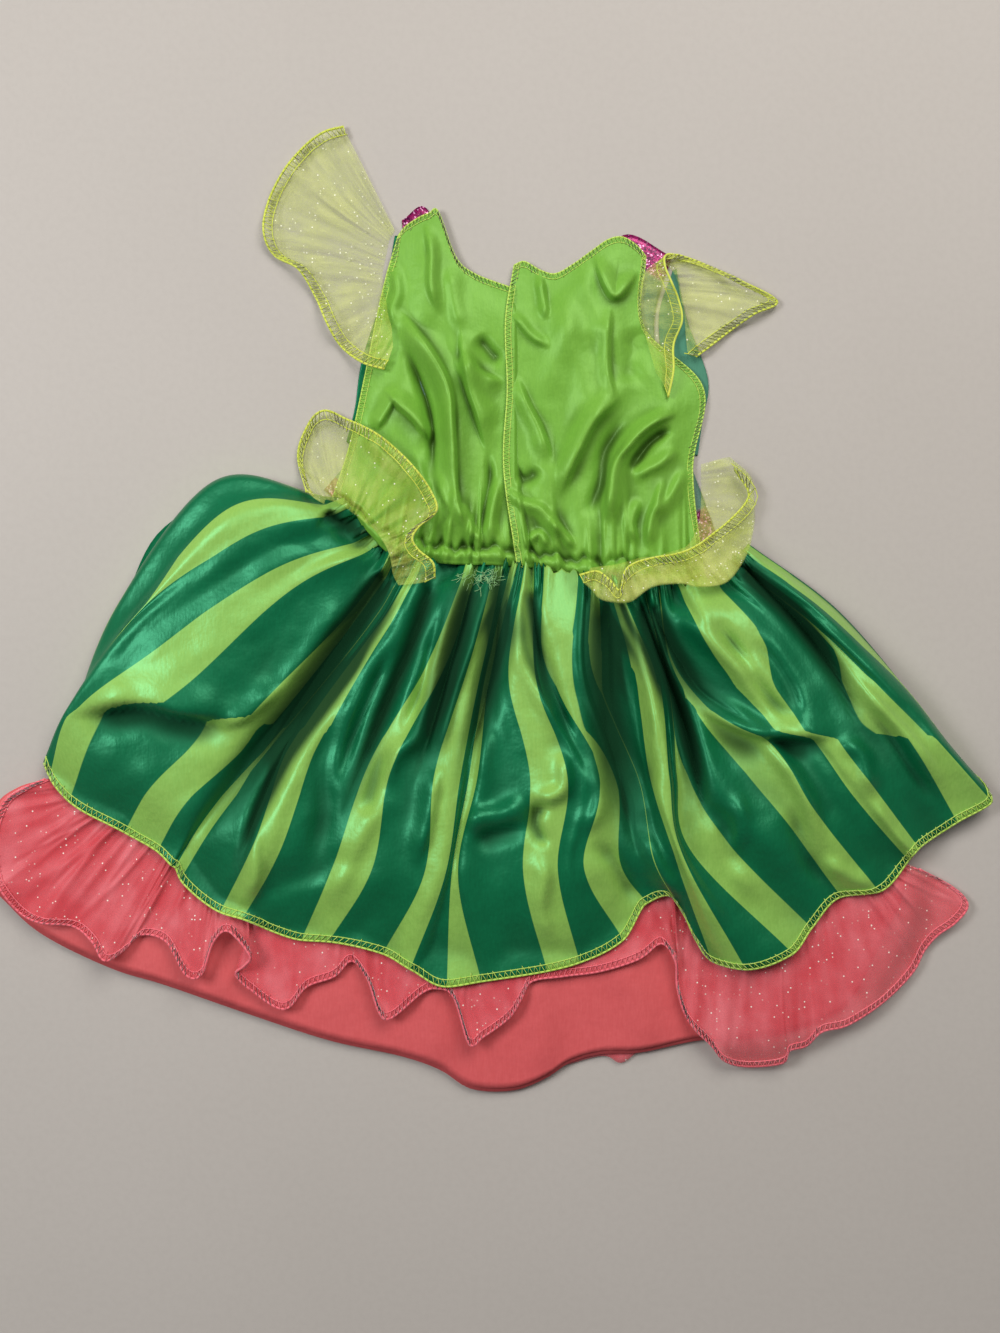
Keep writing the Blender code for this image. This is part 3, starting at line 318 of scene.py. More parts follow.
BACK_LEFT_LINES = [
    BackLine(-55, 216, -64, 184, -74, 136, -83, 95, 2),
    BackLine(-51, 221, -58, 181, -62, 134, -71, 89, 26),
    BackLine(-47, 224, -52, 178, -51, 133, -54, 89, 46),
    BackLine(-42, 227, -45, 176, -42, 130, -38, 89, 61),
    BackLine(-37, 229, -37, 176, -33, 127, -28, 86, 75),
    BackLine(-32, 230, -28, 176, -24, 124, -20, 84, 87),
    BackLine(-22, 204, -18, 167, -14, 121, -10, 84, 99),
    BackLine(-11, 194, -8, 162, -4, 121, -2, 84, 112),
    BackLine(10, 186, 12, 156, 13, 121, 12, 84, 132),
]
BACK_RIGHT_LINES = [
    BackLine(12, 199, 7, 167, 8, 127, 6, 81, 127),
    BackLine(18, 201, 15, 167, 16, 127, 16, 81, 137),
    BackLine(27, 196, 27, 167, 30, 124, 30, 78, 149),
    BackLine(36, 194, 38, 167, 42, 124, 44, 78, 162),
    BackLine(47, 200, 51, 167, 56, 124, 59, 78, 175),
    BackLine(58, 208, 63, 167, 70, 124, 73, 78, 188),
    BackLine(67, 214, 73, 167, 82, 121, 87, 78, 201),
    BackLine(75, 215, 80, 167, 93, 120, 98, 77, 213),
    BackLine(83, 210, 84, 166, 106, 121, 109, 79, 225),
    BackLine(88, 204, 87, 163, 121, 128, 115, 80, 237),
]

# Soft creases of the bodice back, each along three spots
LEFT_CREASES = [
    Crease(4.5, 8, -56, 169, -26, 127, -23, 70),
    Crease(3.0, 7, -23, 70, -18, 42, -10, 30),
    Crease(3.0, 7, -21, 149, -8, 120, 3, 105),
    Crease(2.6, 7, -60, 121, -46, 109, -35, 95),
    Crease(2.2, 8, -46, 210, -38, 185, -40, 160),
]
RIGHT_CREASES = [
    Crease(4.2, 9, 81, 137, 58, 112, 41, 78),
    Crease(4.0, 8, 101, 115, 74, 92, 66, 45),
    Crease(2.6, 8, 46, 190, 38, 150, 30, 120),
    Crease(2.2, 8, 72, 200, 70, 170, 76, 145),
    Crease(2.0, 7, 24, 105, 30, 80, 26, 50),
]

# Frills, from the sewn edge over the fold to the free edge
SLEEVE_LEFT_RIBS = [
    Rib(-57, 219, -72, 249, -87, 279, 2),
    Rib(-58, 217, -80, 247, -98, 276, 7),
    Rib(-60, 214, -88, 240, -109, 268, 2),
    Rib(-61, 210, -94, 232, -121, 254, 6),
    Rib(-62, 205, -98, 223, -130, 236, 2),
    Rib(-63, 200, -98, 212, -133, 219, 5),
    Rib(-64, 195, -96, 202, -127, 205, 2),
    Rib(-64, 190, -88, 194, -113, 197, 5),
    Rib(-64, 185, -83, 184, -103, 181, 2),
    Rib(-62, 178, -79, 172, -96, 165, 6),
    Rib(-61, 171, -75, 161, -88, 152, 2),
    Rib(-59, 163, -67, 152, -76, 143, 5),
    Rib(-58, 152, -60, 146, -63, 139, 2),
]
SLEEVE_RIGHT_RIBS = [
    Rib(94, 137, 98, 131, 101, 123, 1),
    Rib(91, 147, 97, 143, 104, 138, 4),
    Rib(88, 158, 96, 156, 104, 153, 1),
    Rib(86, 168, 97, 168, 109, 167, 5),
    Rib(85, 178, 95, 179, 107, 179, 4),
    Rib(85, 187, 93, 188, 103, 189, 7),
    Rib(87, 194, 93, 197, 99, 199, 6),
    Rib(92, 199, 96, 202, 100, 205, 4),
    Rib(98, 200, 104, 202, 110, 204, 2),
    Rib(103, 196, 114, 198, 125, 198, 1),
    Rib(106, 191, 125, 191, 145, 189, 5),
    Rib(107, 187, 136, 184, 164, 178, 2),
    Rib(108, 180, 130, 177, 151, 171, 6),
    Rib(110, 171, 124, 167, 138, 162, 2),
    Rib(111, 160, 118, 156, 125, 152, 4),
    Rib(112, 149, 114, 147, 117, 146, 2),
]
PEPLUM_LEFT_RIBS = [
    Rib(-98, 61, -103, 64, -108, 68, 1),
    Rib(-97, 63.5, -105, 76, -113, 89, 2),
    Rib(-94, 63, -101, 85, -107, 107, 2),
    Rib(-91, 62, -95, 88, -98, 115, 6),
    Rib(-87, 60, -86, 85, -85, 110, 2),
    Rib(-83, 57, -76, 80, -70, 103, 6),
    Rib(-79, 54, -68, 73, -57, 93, 2),
    Rib(-74, 50, -59, 65, -45, 81, 7),
    Rib(-69, 46, -52, 57, -36, 68, 3),
    Rib(-65, 41, -48, 48, -33, 57, 5),
    Rib(-62, 36, -53, 42, -43, 48, 4),
    Rib(-60, 31, -54, 36, -47, 41, 5),
    Rib(-59, 26, -50, 29, -43, 34, 3),
    Rib(-58, 20, -46, 23, -35, 27, 6),
    Rib(-55, 14, -44, 15, -34, 18, 3),
]
PEPLUM_RIGHT_RIBS = [
    Rib(120, 84, 136, 88, 140, 80, 2),
    Rib(120, 75, 149, 76, 147, 69, 4),
    Rib(120, 63, 151, 57, 146, 62, 2),
    Rib(119, 52, 150, 45, 137, 52, 5),
    Rib(116, 43, 146, 31, 126, 43, 2),
    Rib(112, 37, 135, 16, 116, 36, 5),
    Rib(108, 35, 119, 13, 105, 32, 2),
    Rib(101, 33, 108, 15, 93, 30, 5),
    Rib(93, 31, 92, 13, 82, 27, 2),
    Rib(85, 30, 80, 5, 76, 22, 6),
    Rib(78, 28, 72, 4, 73, 11, 2),
    Rib(70, 26, 62, 6, 67, 17, 5),
    Rib(62, 25, 57, 11, 60, 22, 2),
    Rib(56, 24, 52, 16, 50, 20, 4),
]

# Folds of the overskirt and of both halves of the bodice's back: how high each is, or how deep
# where its rise is negative, its width on both sides, and the four spots of its run. The spots of
# folds, laps and valleys are picture points of the photo, picked there.
SKIRT_FOLDS = [
    # transverse lap of the big left bulge over its hem flap
    Fold(6, 14, 3, (66, 712), (130, 700), (185, 711), (240, 717)),
    Fold(4, 10, 3, (215, 724), (240, 719), (262, 704), (285, 684)),
    Fold(-5, 2.5, 12, (74, 722), (130, 712), (185, 723), (245, 731)),
    # deep valley beside the bulge
    Fold(-5, 8, 9, (392, 575), (335, 650), (300, 700), (250, 765)),
    Fold(-6, 5, 7, (300, 700), (270, 735), (230, 790), (182, 855)),
    Fold(3, 3, 8, (352, 590), (325, 635), (290, 690), (262, 725)),
    Fold(3, 3, 3, (392, 555), (370, 585), (345, 615), (312, 655)),
    # crest of the fifth light stripe and the soft valleys under it
    Fold(4, 5, 10, (378, 645), (330, 690), (285, 745), (262, 790)),
    Fold(3, 4, 7, (262, 790), (252, 830), (256, 880), (240, 915)),
    Fold(-4, 7, 8, (350, 700), (325, 760), (322, 830), (300, 880)),
    Fold(-3, 8, 10, (380, 850), (340, 865), (290, 878), (250, 900)),
    # sixth light stripe with its little S fold
    Fold(4, 4, 6, (430, 690), (425, 730), (396, 755), (388, 790)),
    Fold(-4, 4, 5, (395, 745), (380, 765), (372, 790), (365, 820)),
    Fold(3, 5, 6, (430, 655), (440, 620), (450, 600), (462, 585)),
    Fold(3, 6, 8, (388, 790), (365, 830), (345, 870), (325, 905)),
    # seventh, a sharp ridge
    Fold(6, 3, 8, (500, 600), (470, 650), (450, 700), (440, 760)),
    Fold(4, 3, 7, (440, 760), (432, 800), (425, 835), (412, 870)),
    Fold(-5, 7, 3, (492, 630), (486, 680), (480, 720), (462, 760)),
    Fold(-4, 8, 4, (478, 560), (470, 600), (452, 650), (430, 690)),
    # cross fold of the eighth dark stripe
    Fold(4, 5, 8, (462, 830), (480, 818), (505, 812), (530, 800)),
    Fold(-3, 4, 7, (470, 845), (490, 835), (515, 828), (530, 822)),
    # ninth light stripe: ridge with an S bend
    Fold(5, 3, 7, (520, 595), (524, 650), (545, 700), (560, 745)),
    Fold(5, 4, 5, (560, 745), (566, 780), (556, 795), (525, 803)),
    Fold(-5, 3, 5, (552, 800), (538, 812), (536, 826), (548, 850)),
    Fold(3, 4, 6, (530, 850), (545, 875), (540, 910), (556, 950)),
    Fold(-4, 3, 4, (545, 640), (552, 680), (566, 720), (578, 745)),
    # tenth and the black valley on its right
    Fold(3, 4, 5, (552, 560), (546, 590), (540, 630), (538, 660)),
    Fold(-6, 8, 6, (602, 640), (596, 700), (610, 760), (618, 815)),
    Fold(-5, 6, 8, (598, 700), (620, 740), (640, 780), (650, 810)),
    Fold(4, 5, 6, (584, 760), (600, 790), (596, 815), (578, 835)),
    # roll of the twelfth dark stripe towards the hem
    Fold(5, 6, 7, (625, 835), (650, 850), (665, 880), (680, 905)),
    Fold(-4, 7, 6, (590, 840), (612, 860), (630, 890), (640, 905)),
    # largest ridge, along the twelfth light stripe
    Fold(5, 3, 5, (602, 612), (636, 660), (652, 710), (654, 770)),
    Fold(4, 3, 4, (654, 770), (662, 810), (672, 850), (678, 872)),
    Fold(-4, 5, 3, (640, 610), (662, 660), (672, 700), (680, 750)),
    # thirteenth
    Fold(3, 6, 7, (690, 790), (712, 830), (735, 870), (770, 905)),
    Fold(-3, 6, 6, (700, 800), (722, 830), (728, 852), (736, 880)),
    Fold(2.5, 4, 5, (735, 790), (742, 820), (738, 845), (736, 860)),
    # lap across the right side, whose cloth below it is set to the right
    Fold(6, 9, 2.5, (694, 704), (722, 719), (765, 733), (836, 735)),
    Fold(-4, 2.5, 9, (700, 714), (725, 728), (766, 742), (836, 744)),
    # fourteenth ridge
    Fold(5, 4, 6, (700, 715), (765, 742), (808, 800), (822, 855)),
    Fold(-3, 5, 6, (790, 800), (800, 840), (815, 870), (840, 890)),
    Fold(3, 4, 6, (822, 855), (836, 868), (855, 878), (878, 890)),
    # dark roll between the fourteenth and fifteenth
    Fold(4, 5, 6, (655, 590), (690, 625), (735, 665), (785, 725)),
    Fold(-3, 5, 4, (640, 600), (680, 660), (710, 690), (740, 712)),
    Fold(3, 4, 5, (690, 590), (715, 640), (748, 670), (772, 690)),
    Fold(-3, 4, 5, (745, 640), (768, 655), (790, 690), (800, 725)),
    # fifteenth below the lap
    Fold(3.5, 4, 5, (836, 740), (860, 752), (868, 775), (872, 800)),
    Fold(2, 4, 5, (872, 800), (888, 825), (900, 842), (914, 855)),
    # long dark valley and the outer roll
    Fold(-5, 6, 6, (745, 565), (790, 610), (835, 655), (880, 715)),
    Fold(3, 6, 8, (755, 565), (820, 615), (870, 665), (915, 725)),
    Fold(2.5, 2, 6, (838, 659), (880, 705), (918, 745), (955, 800)),
    Fold(-3, 5, 3, (860, 700), (890, 735), (915, 775), (945, 812)),
    # soft valleys close to the waist
    Fold(-5, 4, 4, (448, 600), (434, 640), (420, 690), (404, 735)),
    Fold(-5, 4, 4, (395, 640), (372, 690), (352, 740), (338, 790)),
    Fold(-4, 4, 4, (712, 610), (742, 660), (770, 700), (800, 728)),
    Fold(-4, 3, 4, (330, 520), (345, 535), (365, 548), (385, 556)),
]
LEFT_FOLDS = [
    Fold(5, 1.8, 7, (395, 307), (430, 351), (449, 392), (453, 450)),
    Fold(5, 1.6, 6, (448, 388), (453, 440), (456, 500), (467, 550)),
    Fold(-4, 2, 3.5, (401, 338), (419, 378), (431, 420), (434, 486)),
    Fold(4.5, 7, 1.8, (383, 386), (398, 403), (416, 420), (435, 446)),
    Fold(3, 1.8, 5, (396, 392), (389, 406), (382, 418), (374, 432)),
    Fold(4, 7, 1.8, (460, 322), (467, 380), (478, 415), (490, 458)),
    Fold(3.5, 2.2, 7, (463, 350), (476, 370), (490, 379), (505, 385)),
    Fold(-3, 4, 4, (476, 335), (484, 345), (494, 356), (504, 364)),
    Fold(3, 4, 2, (424, 222), (431, 250), (431, 285), (440, 316)),
    Fold(2.5, 4, 3, (392, 258), (397, 290), (392, 310), (397, 334)),
    Fold(3.5, 2, 5, (461, 506), (468, 528), (474, 545), (482, 558)),
    Fold(3, 3, 4, (499, 478), (494, 505), (491, 530), (494, 562)),
    Fold(-3, 2.5, 2.5, (487, 448), (490, 480), (486, 510), (480, 548)),
    Fold(2.5, 3, 4, (440, 468), (444, 500), (446, 530), (452, 558)),
    Fold(2.5, 3, 3, (414, 450), (422, 480), (432, 510), (438, 542)),
    Fold(3, 2, 5, (364, 428), (384, 452), (400, 470), (414, 482)),
    Fold(2, 6, 4, (452, 262), (452, 285), (456, 310), (462, 336)),
]
RIGHT_FOLDS = [
    Fold(5, 2.5, 8, (624, 391), (596, 418), (578, 452), (556, 504)),
    Fold(-3.5, 4, 4, (628, 418), (606, 452), (599, 492), (585, 528)),
    Fold(4.5, 6, 1.8, (640, 432), (616, 462), (610, 492), (607, 540)),
    Fold(4.5, 1.8, 5, (678, 411), (654, 423), (636, 438), (618, 462)),
    Fold(-4, 3, 3, (674, 427), (656, 438), (644, 450), (628, 474)),
    Fold(3, 3, 4, (679, 446), (662, 462), (645, 472), (632, 484)),
    Fold(3.5, 1.8, 6, (515, 374), (526, 402), (540, 430), (551, 466)),
    Fold(3.5, 3, 5, (503, 480), (518, 505), (542, 518), (566, 554)),
    Fold(-2.5, 4, 4, (510, 468), (520, 480), (530, 480), (540, 468)),
    Fold(3.5, 2, 3.5, (551, 526), (560, 540), (568, 552), (575, 565)),
    Fold(3, 2, 3, (526, 558), (538, 545), (544, 552), (547, 564)),
    Fold(3.4, 1.8, 5, (610, 302), (607, 343), (608, 375), (615, 402)),
    Fold(-2.5, 8, 6, (628, 326), (632, 345), (632, 365), (625, 388)),
    Fold(4, 6, 2, (595, 252), (606, 284), (618, 295), (638, 268)),
    Fold(2.5, 2, 3, (539, 272), (542, 290), (544, 304), (547, 322)),
    Fold(2.5, 3, 2, (508, 310), (520, 322), (532, 336), (552, 348)),
    Fold(2.5, 9, 9, (570, 296), (572, 340), (585, 380), (574, 424)),
    Fold(2, 5, 7, (588, 256), (588, 290), (596, 320), (590, 354)),
    Fold(3, 2, 4, (640, 500), (634, 520), (632, 535), (637, 556)),
    Fold(3, 3, 2, (664, 476), (656, 505), (650, 525), (647, 556)),
    Fold(2.5, 4, 3, (686, 466), (674, 490), (664, 505), (650, 516)),
]

# Folds that lie over the stripes beside them: how far the stripes jump just above and just
# below each, the share of that jump where the fold starts, and how far it takes to fade
LAPS = [
    Lap(20, -4, 0.3, 40, (694, 704), (722, 719), (765, 733), (840, 735)),
    Lap(-3, 13, 0.6, 30, (66, 714), (130, 703), (185, 713), (245, 720)),
]

# Deep valleys of the overskirt: height of the bottom, how fast the cloth climbs on both sides,
# the width of its painted shade and its run from the waist
VALLEYS = [
    Valley(4, 0.85, 1.5, 10.5, (396, 562), (342, 645), (276, 738), (178, 868)),
    Valley(5, 1.5, 1.5, 8, (502, 580), (494, 650), (482, 710), (458, 790)),
    Valley(4, 0.95, 1.3, 13, (604, 600), (606, 690), (618, 770), (645, 890)),
    Valley(7, 1.9, 2.2, 7, (636, 600), (668, 680), (690, 750), (712, 850)),
    Valley(6, 1.8, 2.0, 7, (738, 562), (795, 618), (832, 668), (866, 740)),
    Valley(8, 2.2, 2.0, 9, (476, 588), (458, 640), (440, 700), (410, 800)),
    Valley(10, 1.6, 1.8, 5, (436, 590), (410, 650), (380, 720), (330, 850)),
    Valley(12, 1.5, 1.6, 4, (322, 512), (345, 526), (366, 540), (386, 556)),
    Valley(11, 1.5, 1.9, 8, (648, 604), (674, 652), (702, 692), (748, 722)),
    Valley(12, 1.5, 1.5, 4, (310, 700), (280, 760), (250, 830), (228, 905)),
    Valley(13, 1.4, 1.4, 4, (530, 600), (536, 640), (545, 680), (560, 730)),
]

# Stripes that narrow or go under their neighbours: cloth distance of the middle, the cloth
# hidden on each side of it where it is narrowest (never more than TUCKED), the place of that
# along the dress and how far it takes to come back above and below there, all three in picture
# points, and how far the stripes beside it are moved
TUCKS = [
    Tuck(539.25, 11.8, 730, 130, 60, 30),
    Tuck(759.25, 30, 650, 300, 64, 30),
    Tuck(869.25, 30, 600, 400, 81, 30),
    Tuck(594.25, 30, 790, 146, 146, 30),
    Tuck(209.25, 30, 690, 500, 105, 30),
    Tuck(44.25, 30, 700, 143, 500, 30),
    Tuck(704.25, 30, 660, 400, 113, 30),
]


def steps_between(xs, at):
    """Span number, share along it and span width for each place in a table."""
    span = np.clip(np.searchsorted(xs, at, side="right") - 1, 0, len(xs) - 2)
    width = xs[span + 1] - xs[span]
    share = ((at - xs[span]) / width)[:, None]
    return span, share, width[:, None]


def hermite(xs, ys, slopes, at):
    """Curve through a table with the given slopes at its rows."""
    span, s, width = steps_between(xs, at)
    low, high = ys[span], ys[span + 1]
    rise_low, rise_high = slopes[span] * width, slopes[span + 1] * width
    return ((2 * s**3 - 3 * s**2 + 1) * low + (s**3 - 2 * s**2 + s) * rise_low
            + (-2 * s**3 + 3 * s**2) * high + (s**3 - s**2) * rise_high)


def table_arrays(xs, ys):
    """Both columns of a table as arrays, the second with a row for each place."""
    xs = np.asarray(xs, float)
    ys = np.asarray(ys, float)
    if ys.ndim == 1:
        ys = ys[:, None]
    return xs, ys


def smooth(xs, ys, at):
    """Rounded curve through a table."""
    xs, ys = table_arrays(xs, ys)
    width = np.diff(xs)[:, None]
    grade = np.diff(ys, axis=0) / width
    slopes = np.zeros_like(ys)
    slopes[1:-1] = (grade[:-1] * width[1:] + grade[1:] * width[:-1]) / (width[1:] + width[:-1])
    slopes[0], slopes[-1] = grade[0], grade[-1]
    return hermite(xs, ys, slopes, np.asarray(at, float))


def steady(xs, ys, at):
    """Curve through a table that never passes the rows it joins."""
    xs, ys = table_arrays(xs, ys)
    width = np.diff(xs)[:, None]
    grade = np.diff(ys, axis=0) / width
    slopes = np.zeros_like(ys)
    before, after = grade[:-1], grade[1:]
    same = before * after > 0
    total = np.where(same, before + after, 1.0)
    slopes[1:-1] = np.where(same, 2 * before * after / total, 0.0)
    slopes[0], slopes[-1] = grade[0], grade[-1]
    return hermite(xs, ys, slopes, np.asarray(at, float))


def measured(spots, per_span=30):
    """Fine points along a curve through the spots, and the distance to each."""
    spots = np.array(spots, float)
    fine = smooth(np.arange(len(spots)), spots, np.linspace(0, len(spots) - 1,
                                                           per_span * (len(spots) - 1) + 1))
    run = np.linalg.norm(np.diff(fine, axis=0), axis=1)
    return fine, np.concatenate([[0.0], np.cumsum(run)])


def along(spots, distances):
    """Points at distances along a curve, straight on past its ends."""
    fine, run = measured(spots)
    inside = np.stack([np.interp(distances, run, fine[:, i]) for i in (0, 1)], axis=-1)
    first = (fine[1] - fine[0]) / (run[1] - run[0])
    last = (fine[-1] - fine[-2]) / (run[-1] - run[-2])
    before = np.minimum(distances, 0)[..., None] * first
    after = np.maximum(distances - run[-1], 0)[..., None] * last
    return inside + before + after


def by_share(spots, shares):
    """Points at shares of the length of a curve."""
    return along(spots, np.asarray(shares) * measured(spots)[1][-1])


def eased(values):
    """From 0 to 1 with a soft start and a soft end."""
    values = np.clip(values, 0.0, 1.0)
    return values * values * (3 - 2 * values)


def patch(top, bottom, left, right, across, down):
    """Flat grid that blends its four outlines."""
    u = np.linspace(0, 1, across)
    v = np.linspace(0, 1, down)
    t, b = by_share(top, u), by_share(bottom, u)
    l, r = by_share(left, v), by_share(right, v)
    us, vs = u[None, :, None], v[:, None, None]
    grid = (1 - vs) * t[None] + vs * b[None] + (1 - us) * l[:, None] + us * r[:, None]
    corners = ((1 - us) * (1 - vs) * t[0] + us * (1 - vs) * t[-1]
               + (1 - us) * vs * b[0] + us * vs * b[-1])
    return grid - corners


def beside(flat, spots, steps):
    """Where flat points lie beside a smooth run through spots: how far from it, whether to
    its left, and at which share of its length."""
    fine, run = measured(spots, steps)
    ahead = np.gradient(fine, axis=0)
    ahead /= np.linalg.norm(ahead, axis=1, keepdims=True)
    gap = flat[:, None, :] - fine
    nearest = np.linalg.norm(gap, axis=-1).argmin(axis=1)
    offset = gap[np.arange(len(flat)), nearest]
    along_run = np.sum(offset * ahead[nearest], axis=1)
    across_run = ahead[nearest, 0] * offset[:, 1] - ahead[nearest, 1] * offset[:, 0]
    past = np.maximum(np.abs(along_run) - run[-1] / (len(fine) - 1), 0)
    share = np.clip((run[nearest] + along_run) / run[-1], 0, 1)
    return Course(np.hypot(across_run, past), across_run > 0, share)


def crease_rise(flat, creases):
    """Height added by soft creases at flat points."""
    total = np.zeros(flat.shape[:-1])
    for crease in creases:
        spots = [Spot(crease.x1, crease.y1), Spot(crease.x2, crease.y2),
                 Spot(crease.x3, crease.y3)]
        course = beside(flat.reshape(-1, 2), spots, 12)
        away, share = course.away.reshape(total.shape), course.share.reshape(total.shape)
        taper = eased(share / 0.25) * eased((1 - share) / 0.25) * 0.7 + 0.3
        total = np.maximum(total, crease.rise * taper * np.exp(-(away / crease.width) ** 2))
    return total


class Stack:
    """Height map of everything laid so far, so that the next layer rests on it."""

    def __init__(self):
        self.count = int(2 * MAP_HALF / MAP_CELL) + 1
        self.top = np.zeros((self.count, self.count))

    def cell(self, values):
        """Row or column of the map at a distance from its middle, as a decimal number."""
        return np.clip(((values + MAP_HALF) / MAP_CELL), 0, self.count - 1.001)

    def add(self, grid):
        """Lays a sheet: the map rises to its upper side."""
        v = np.linspace(0, grid.shape[0] - 1, (grid.shape[0] - 1) * 8 + 1)
        u = np.linspace(0, grid.shape[1] - 1, (grid.shape[1] - 1) * 8 + 1)
        vi, ui = np.minimum(v.astype(int), grid.shape[0] - 2), np.minimum(u.astype(int),
                                                                         grid.shape[1] - 2)
        vf, uf = (v - vi)[:, None, None], (u - ui)[None, :, None]
        fine = ((1 - vf) * (1 - uf) * grid[vi][:, ui] + (1 - vf) * uf * grid[vi][:, ui + 1]
                + vf * (1 - uf) * grid[vi + 1][:, ui] + vf * uf * grid[vi + 1][:, ui + 1])
        column = np.round(self.cell(fine[..., 0])).astype(int)
        row = np.round(self.cell(fine[..., 1])).astype(int)
        np.maximum.at(self.top, (row, column), fine[..., 2] + WALL / 2)

    def moved(self, heights):
        """A map as it is and moved by a cell to all eight sides."""
        padded = np.pad(heights, 1, mode="edge")
        return [padded[i:i + self.count, j:j + self.count] for i in range(3) for j in range(3)]

    def spread(self, cells):
        """The map with every height carried this many cells outwards."""
        wide = self.top
        for _ in range(cells):
            wide = np.max(self.moved(wide), axis=0)
        return wide

    def softened(self, cells):
        """Spread heights rounded off, and never lower than the map itself."""
        wide = self.spread(cells)
        for _ in range(cells):
            wide = np.mean(self.moved(wide), axis=0)
        return wide

    def under(self, flat, cells):
        """Height of what lies under flat points."""
        wide = self.softened(cells)
        column, row = self.cell(flat[..., 0]), self.cell(flat[..., 1])
        c, r = column.astype(int), row.astype(int)
        cf, rf = column - c, row - r
        return ((1 - rf) * (1 - cf) * wide[r, c] + (1 - rf) * cf * wide[r, c + 1]
                + rf * (1 - cf) * wide[r + 1, c] + rf * cf * wide[r + 1, c + 1])


def raised(flat, height):
    """Flat points with their heights."""
    return np.concatenate([flat, height[..., None]], axis=-1)


def resting(stack, flat, extra=0.0, cells=3):
    """Grid that lies on the layers below it, with some extra height of its own."""
    support = stack.under(flat, cells)
    gap = LAYER_GAP * eased(support / 0.8)
    return raised(flat, support + gap + WALL / 2 + extra)


def level(flat, layer):
    """Flat layer of the pile. The one that lies on the table is number 0."""
    height = WALL / 2 + layer * (WALL + LAYER_GAP)
    return raised(flat, np.full(flat.shape[:-1], height))


def normals(grid):
    """Directions square to a sheet."""
    across = np.gradient(grid, axis=1)
    down = np.gradient(grid, axis=0)
    found = np.cross(down, across)
    size = np.linalg.norm(found, axis=-1, keepdims=True)
    return np.where(size > 1e-6, found / np.maximum(size, 1e-6), UPWARDS)


def closed_sheet(grid, thickness):
    """Points and faces of a cloth grid closed with an even wall: its right side first, then
    its wrong side, then its rim."""
    rows, columns = grid.shape[:2]
    away = normals(grid)
    mirrored = away[..., 2].mean() < 0
    if mirrored:
        away = -away
    upper = (grid + away * thickness / 2).reshape(-1, 3)
    lower = (grid - away * thickness / 2).reshape(-1, 3)
    index = np.arange(rows * columns).reshape(rows, columns)
    a, b = index[:-1, :-1].ravel(), index[:-1, 1:].ravel()
    c, d = index[1:, 1:].ravel(), index[1:, :-1].ravel()
    top = np.stack([a, d, c, b], axis=1)
    bottom = np.stack([a, b, c, d], axis=1) + rows * columns
    rim = np.concatenate([index[0, :-1], index[:-1, -1], index[-1, :0:-1], index[:0:-1, 0]])
    ahead = np.roll(rim, -1)
    wall = np.stack([rim, ahead, ahead + rows * columns, rim + rows * columns], axis=1)
    faces = np.concatenate([top, bottom, wall])
    return np.concatenate([upper, lower]), faces[:, ::-1] if mirrored else faces


def within(cloth):
    """From 0 at both sides of the overskirt's upper half to 1 away from them."""
    return eased((cloth - FIRST_CLOTH) / FREE_EDGE) * eased((LAST_CLOTH - cloth) / FREE_EDGE)


def skirt_grid(cloth, shares):
    """Mid surface of the overskirt's upper half: rows run from waist to hem."""
    edges = np.array(EDGES, float)
    crossings = steady(edges[:, 0], edges[:, 1:5], cloth)
    hem = steady(edges[:, 0], edges[:, 5:7], cloth)
    spots = [along(SECTIONS[name], crossings[:, i]) for i, name in enumerate(SECTIONS)]
    spots.append(hem)
    heights = np.array(HEIGHTS, float)
    lifts = steady(heights[:, 0], heights[:, 1:6], cloth)
    stations = np.array(spots).reshape(5, -1)
    flat = smooth(STATION_SHARE, stations, shares).reshape(len(shares), len(cloth), 2)
    lift = steady(STATION_SHARE, lifts.T, shares)
    fade = (1 - eased(shares / GATHER_REACH))[:, None]
    swing = 0.9 * np.sin(cloth / 97.0)
    gathers = GATHER_HEIGHT * np.sin(2 * np.pi * cloth / GATHER_PERIOD + swing)
    gathers = gathers * np.clip(np.gradient(crossings[:, 0], cloth) / 0.25, 0.35, 1.0)
    return raised(flat, lift + fade * (gathers * within(cloth))[None, :])


def waist_spots(distances, lift):
    """Points just above the line where the overskirt is gathered on."""
    here = along(SECTIONS["waist"], distances)
    ahead = along(SECTIONS["waist"], distances + 1.0) - along(SECTIONS["waist"], distances - 1.0)
    ahead /= np.linalg.norm(ahead, axis=-1, keepdims=True)
    return here + lift * np.stack([-ahead[:, 1], ahead[:, 0]], axis=-1)


def back_lines(table):
    """Lines of a bodice back, whose lower ends follow the overskirt's waist."""
    table = np.array(table, float)
    return np.concatenate([table[:, :8], waist_spots(table[:, 8], WAIST_SEAM)], axis=1)


def bodice_grid(lines, across, down):
    """Flat grid of a bodice panel from the lines that run down it."""
    lines = np.array(lines, float)
    places = np.linspace(0, len(lines) - 1, across)
    levels = smooth(np.arange(len(lines)), lines, places).reshape(across, 5, 2)
    shares = np.linspace(0, 1, down)
    grid = smooth((0.0, 0.25, 0.5, 0.75, 1.0), levels.transpose(1, 0, 2).reshape(5, -1), shares)
    return grid.reshape(down, across, 2)


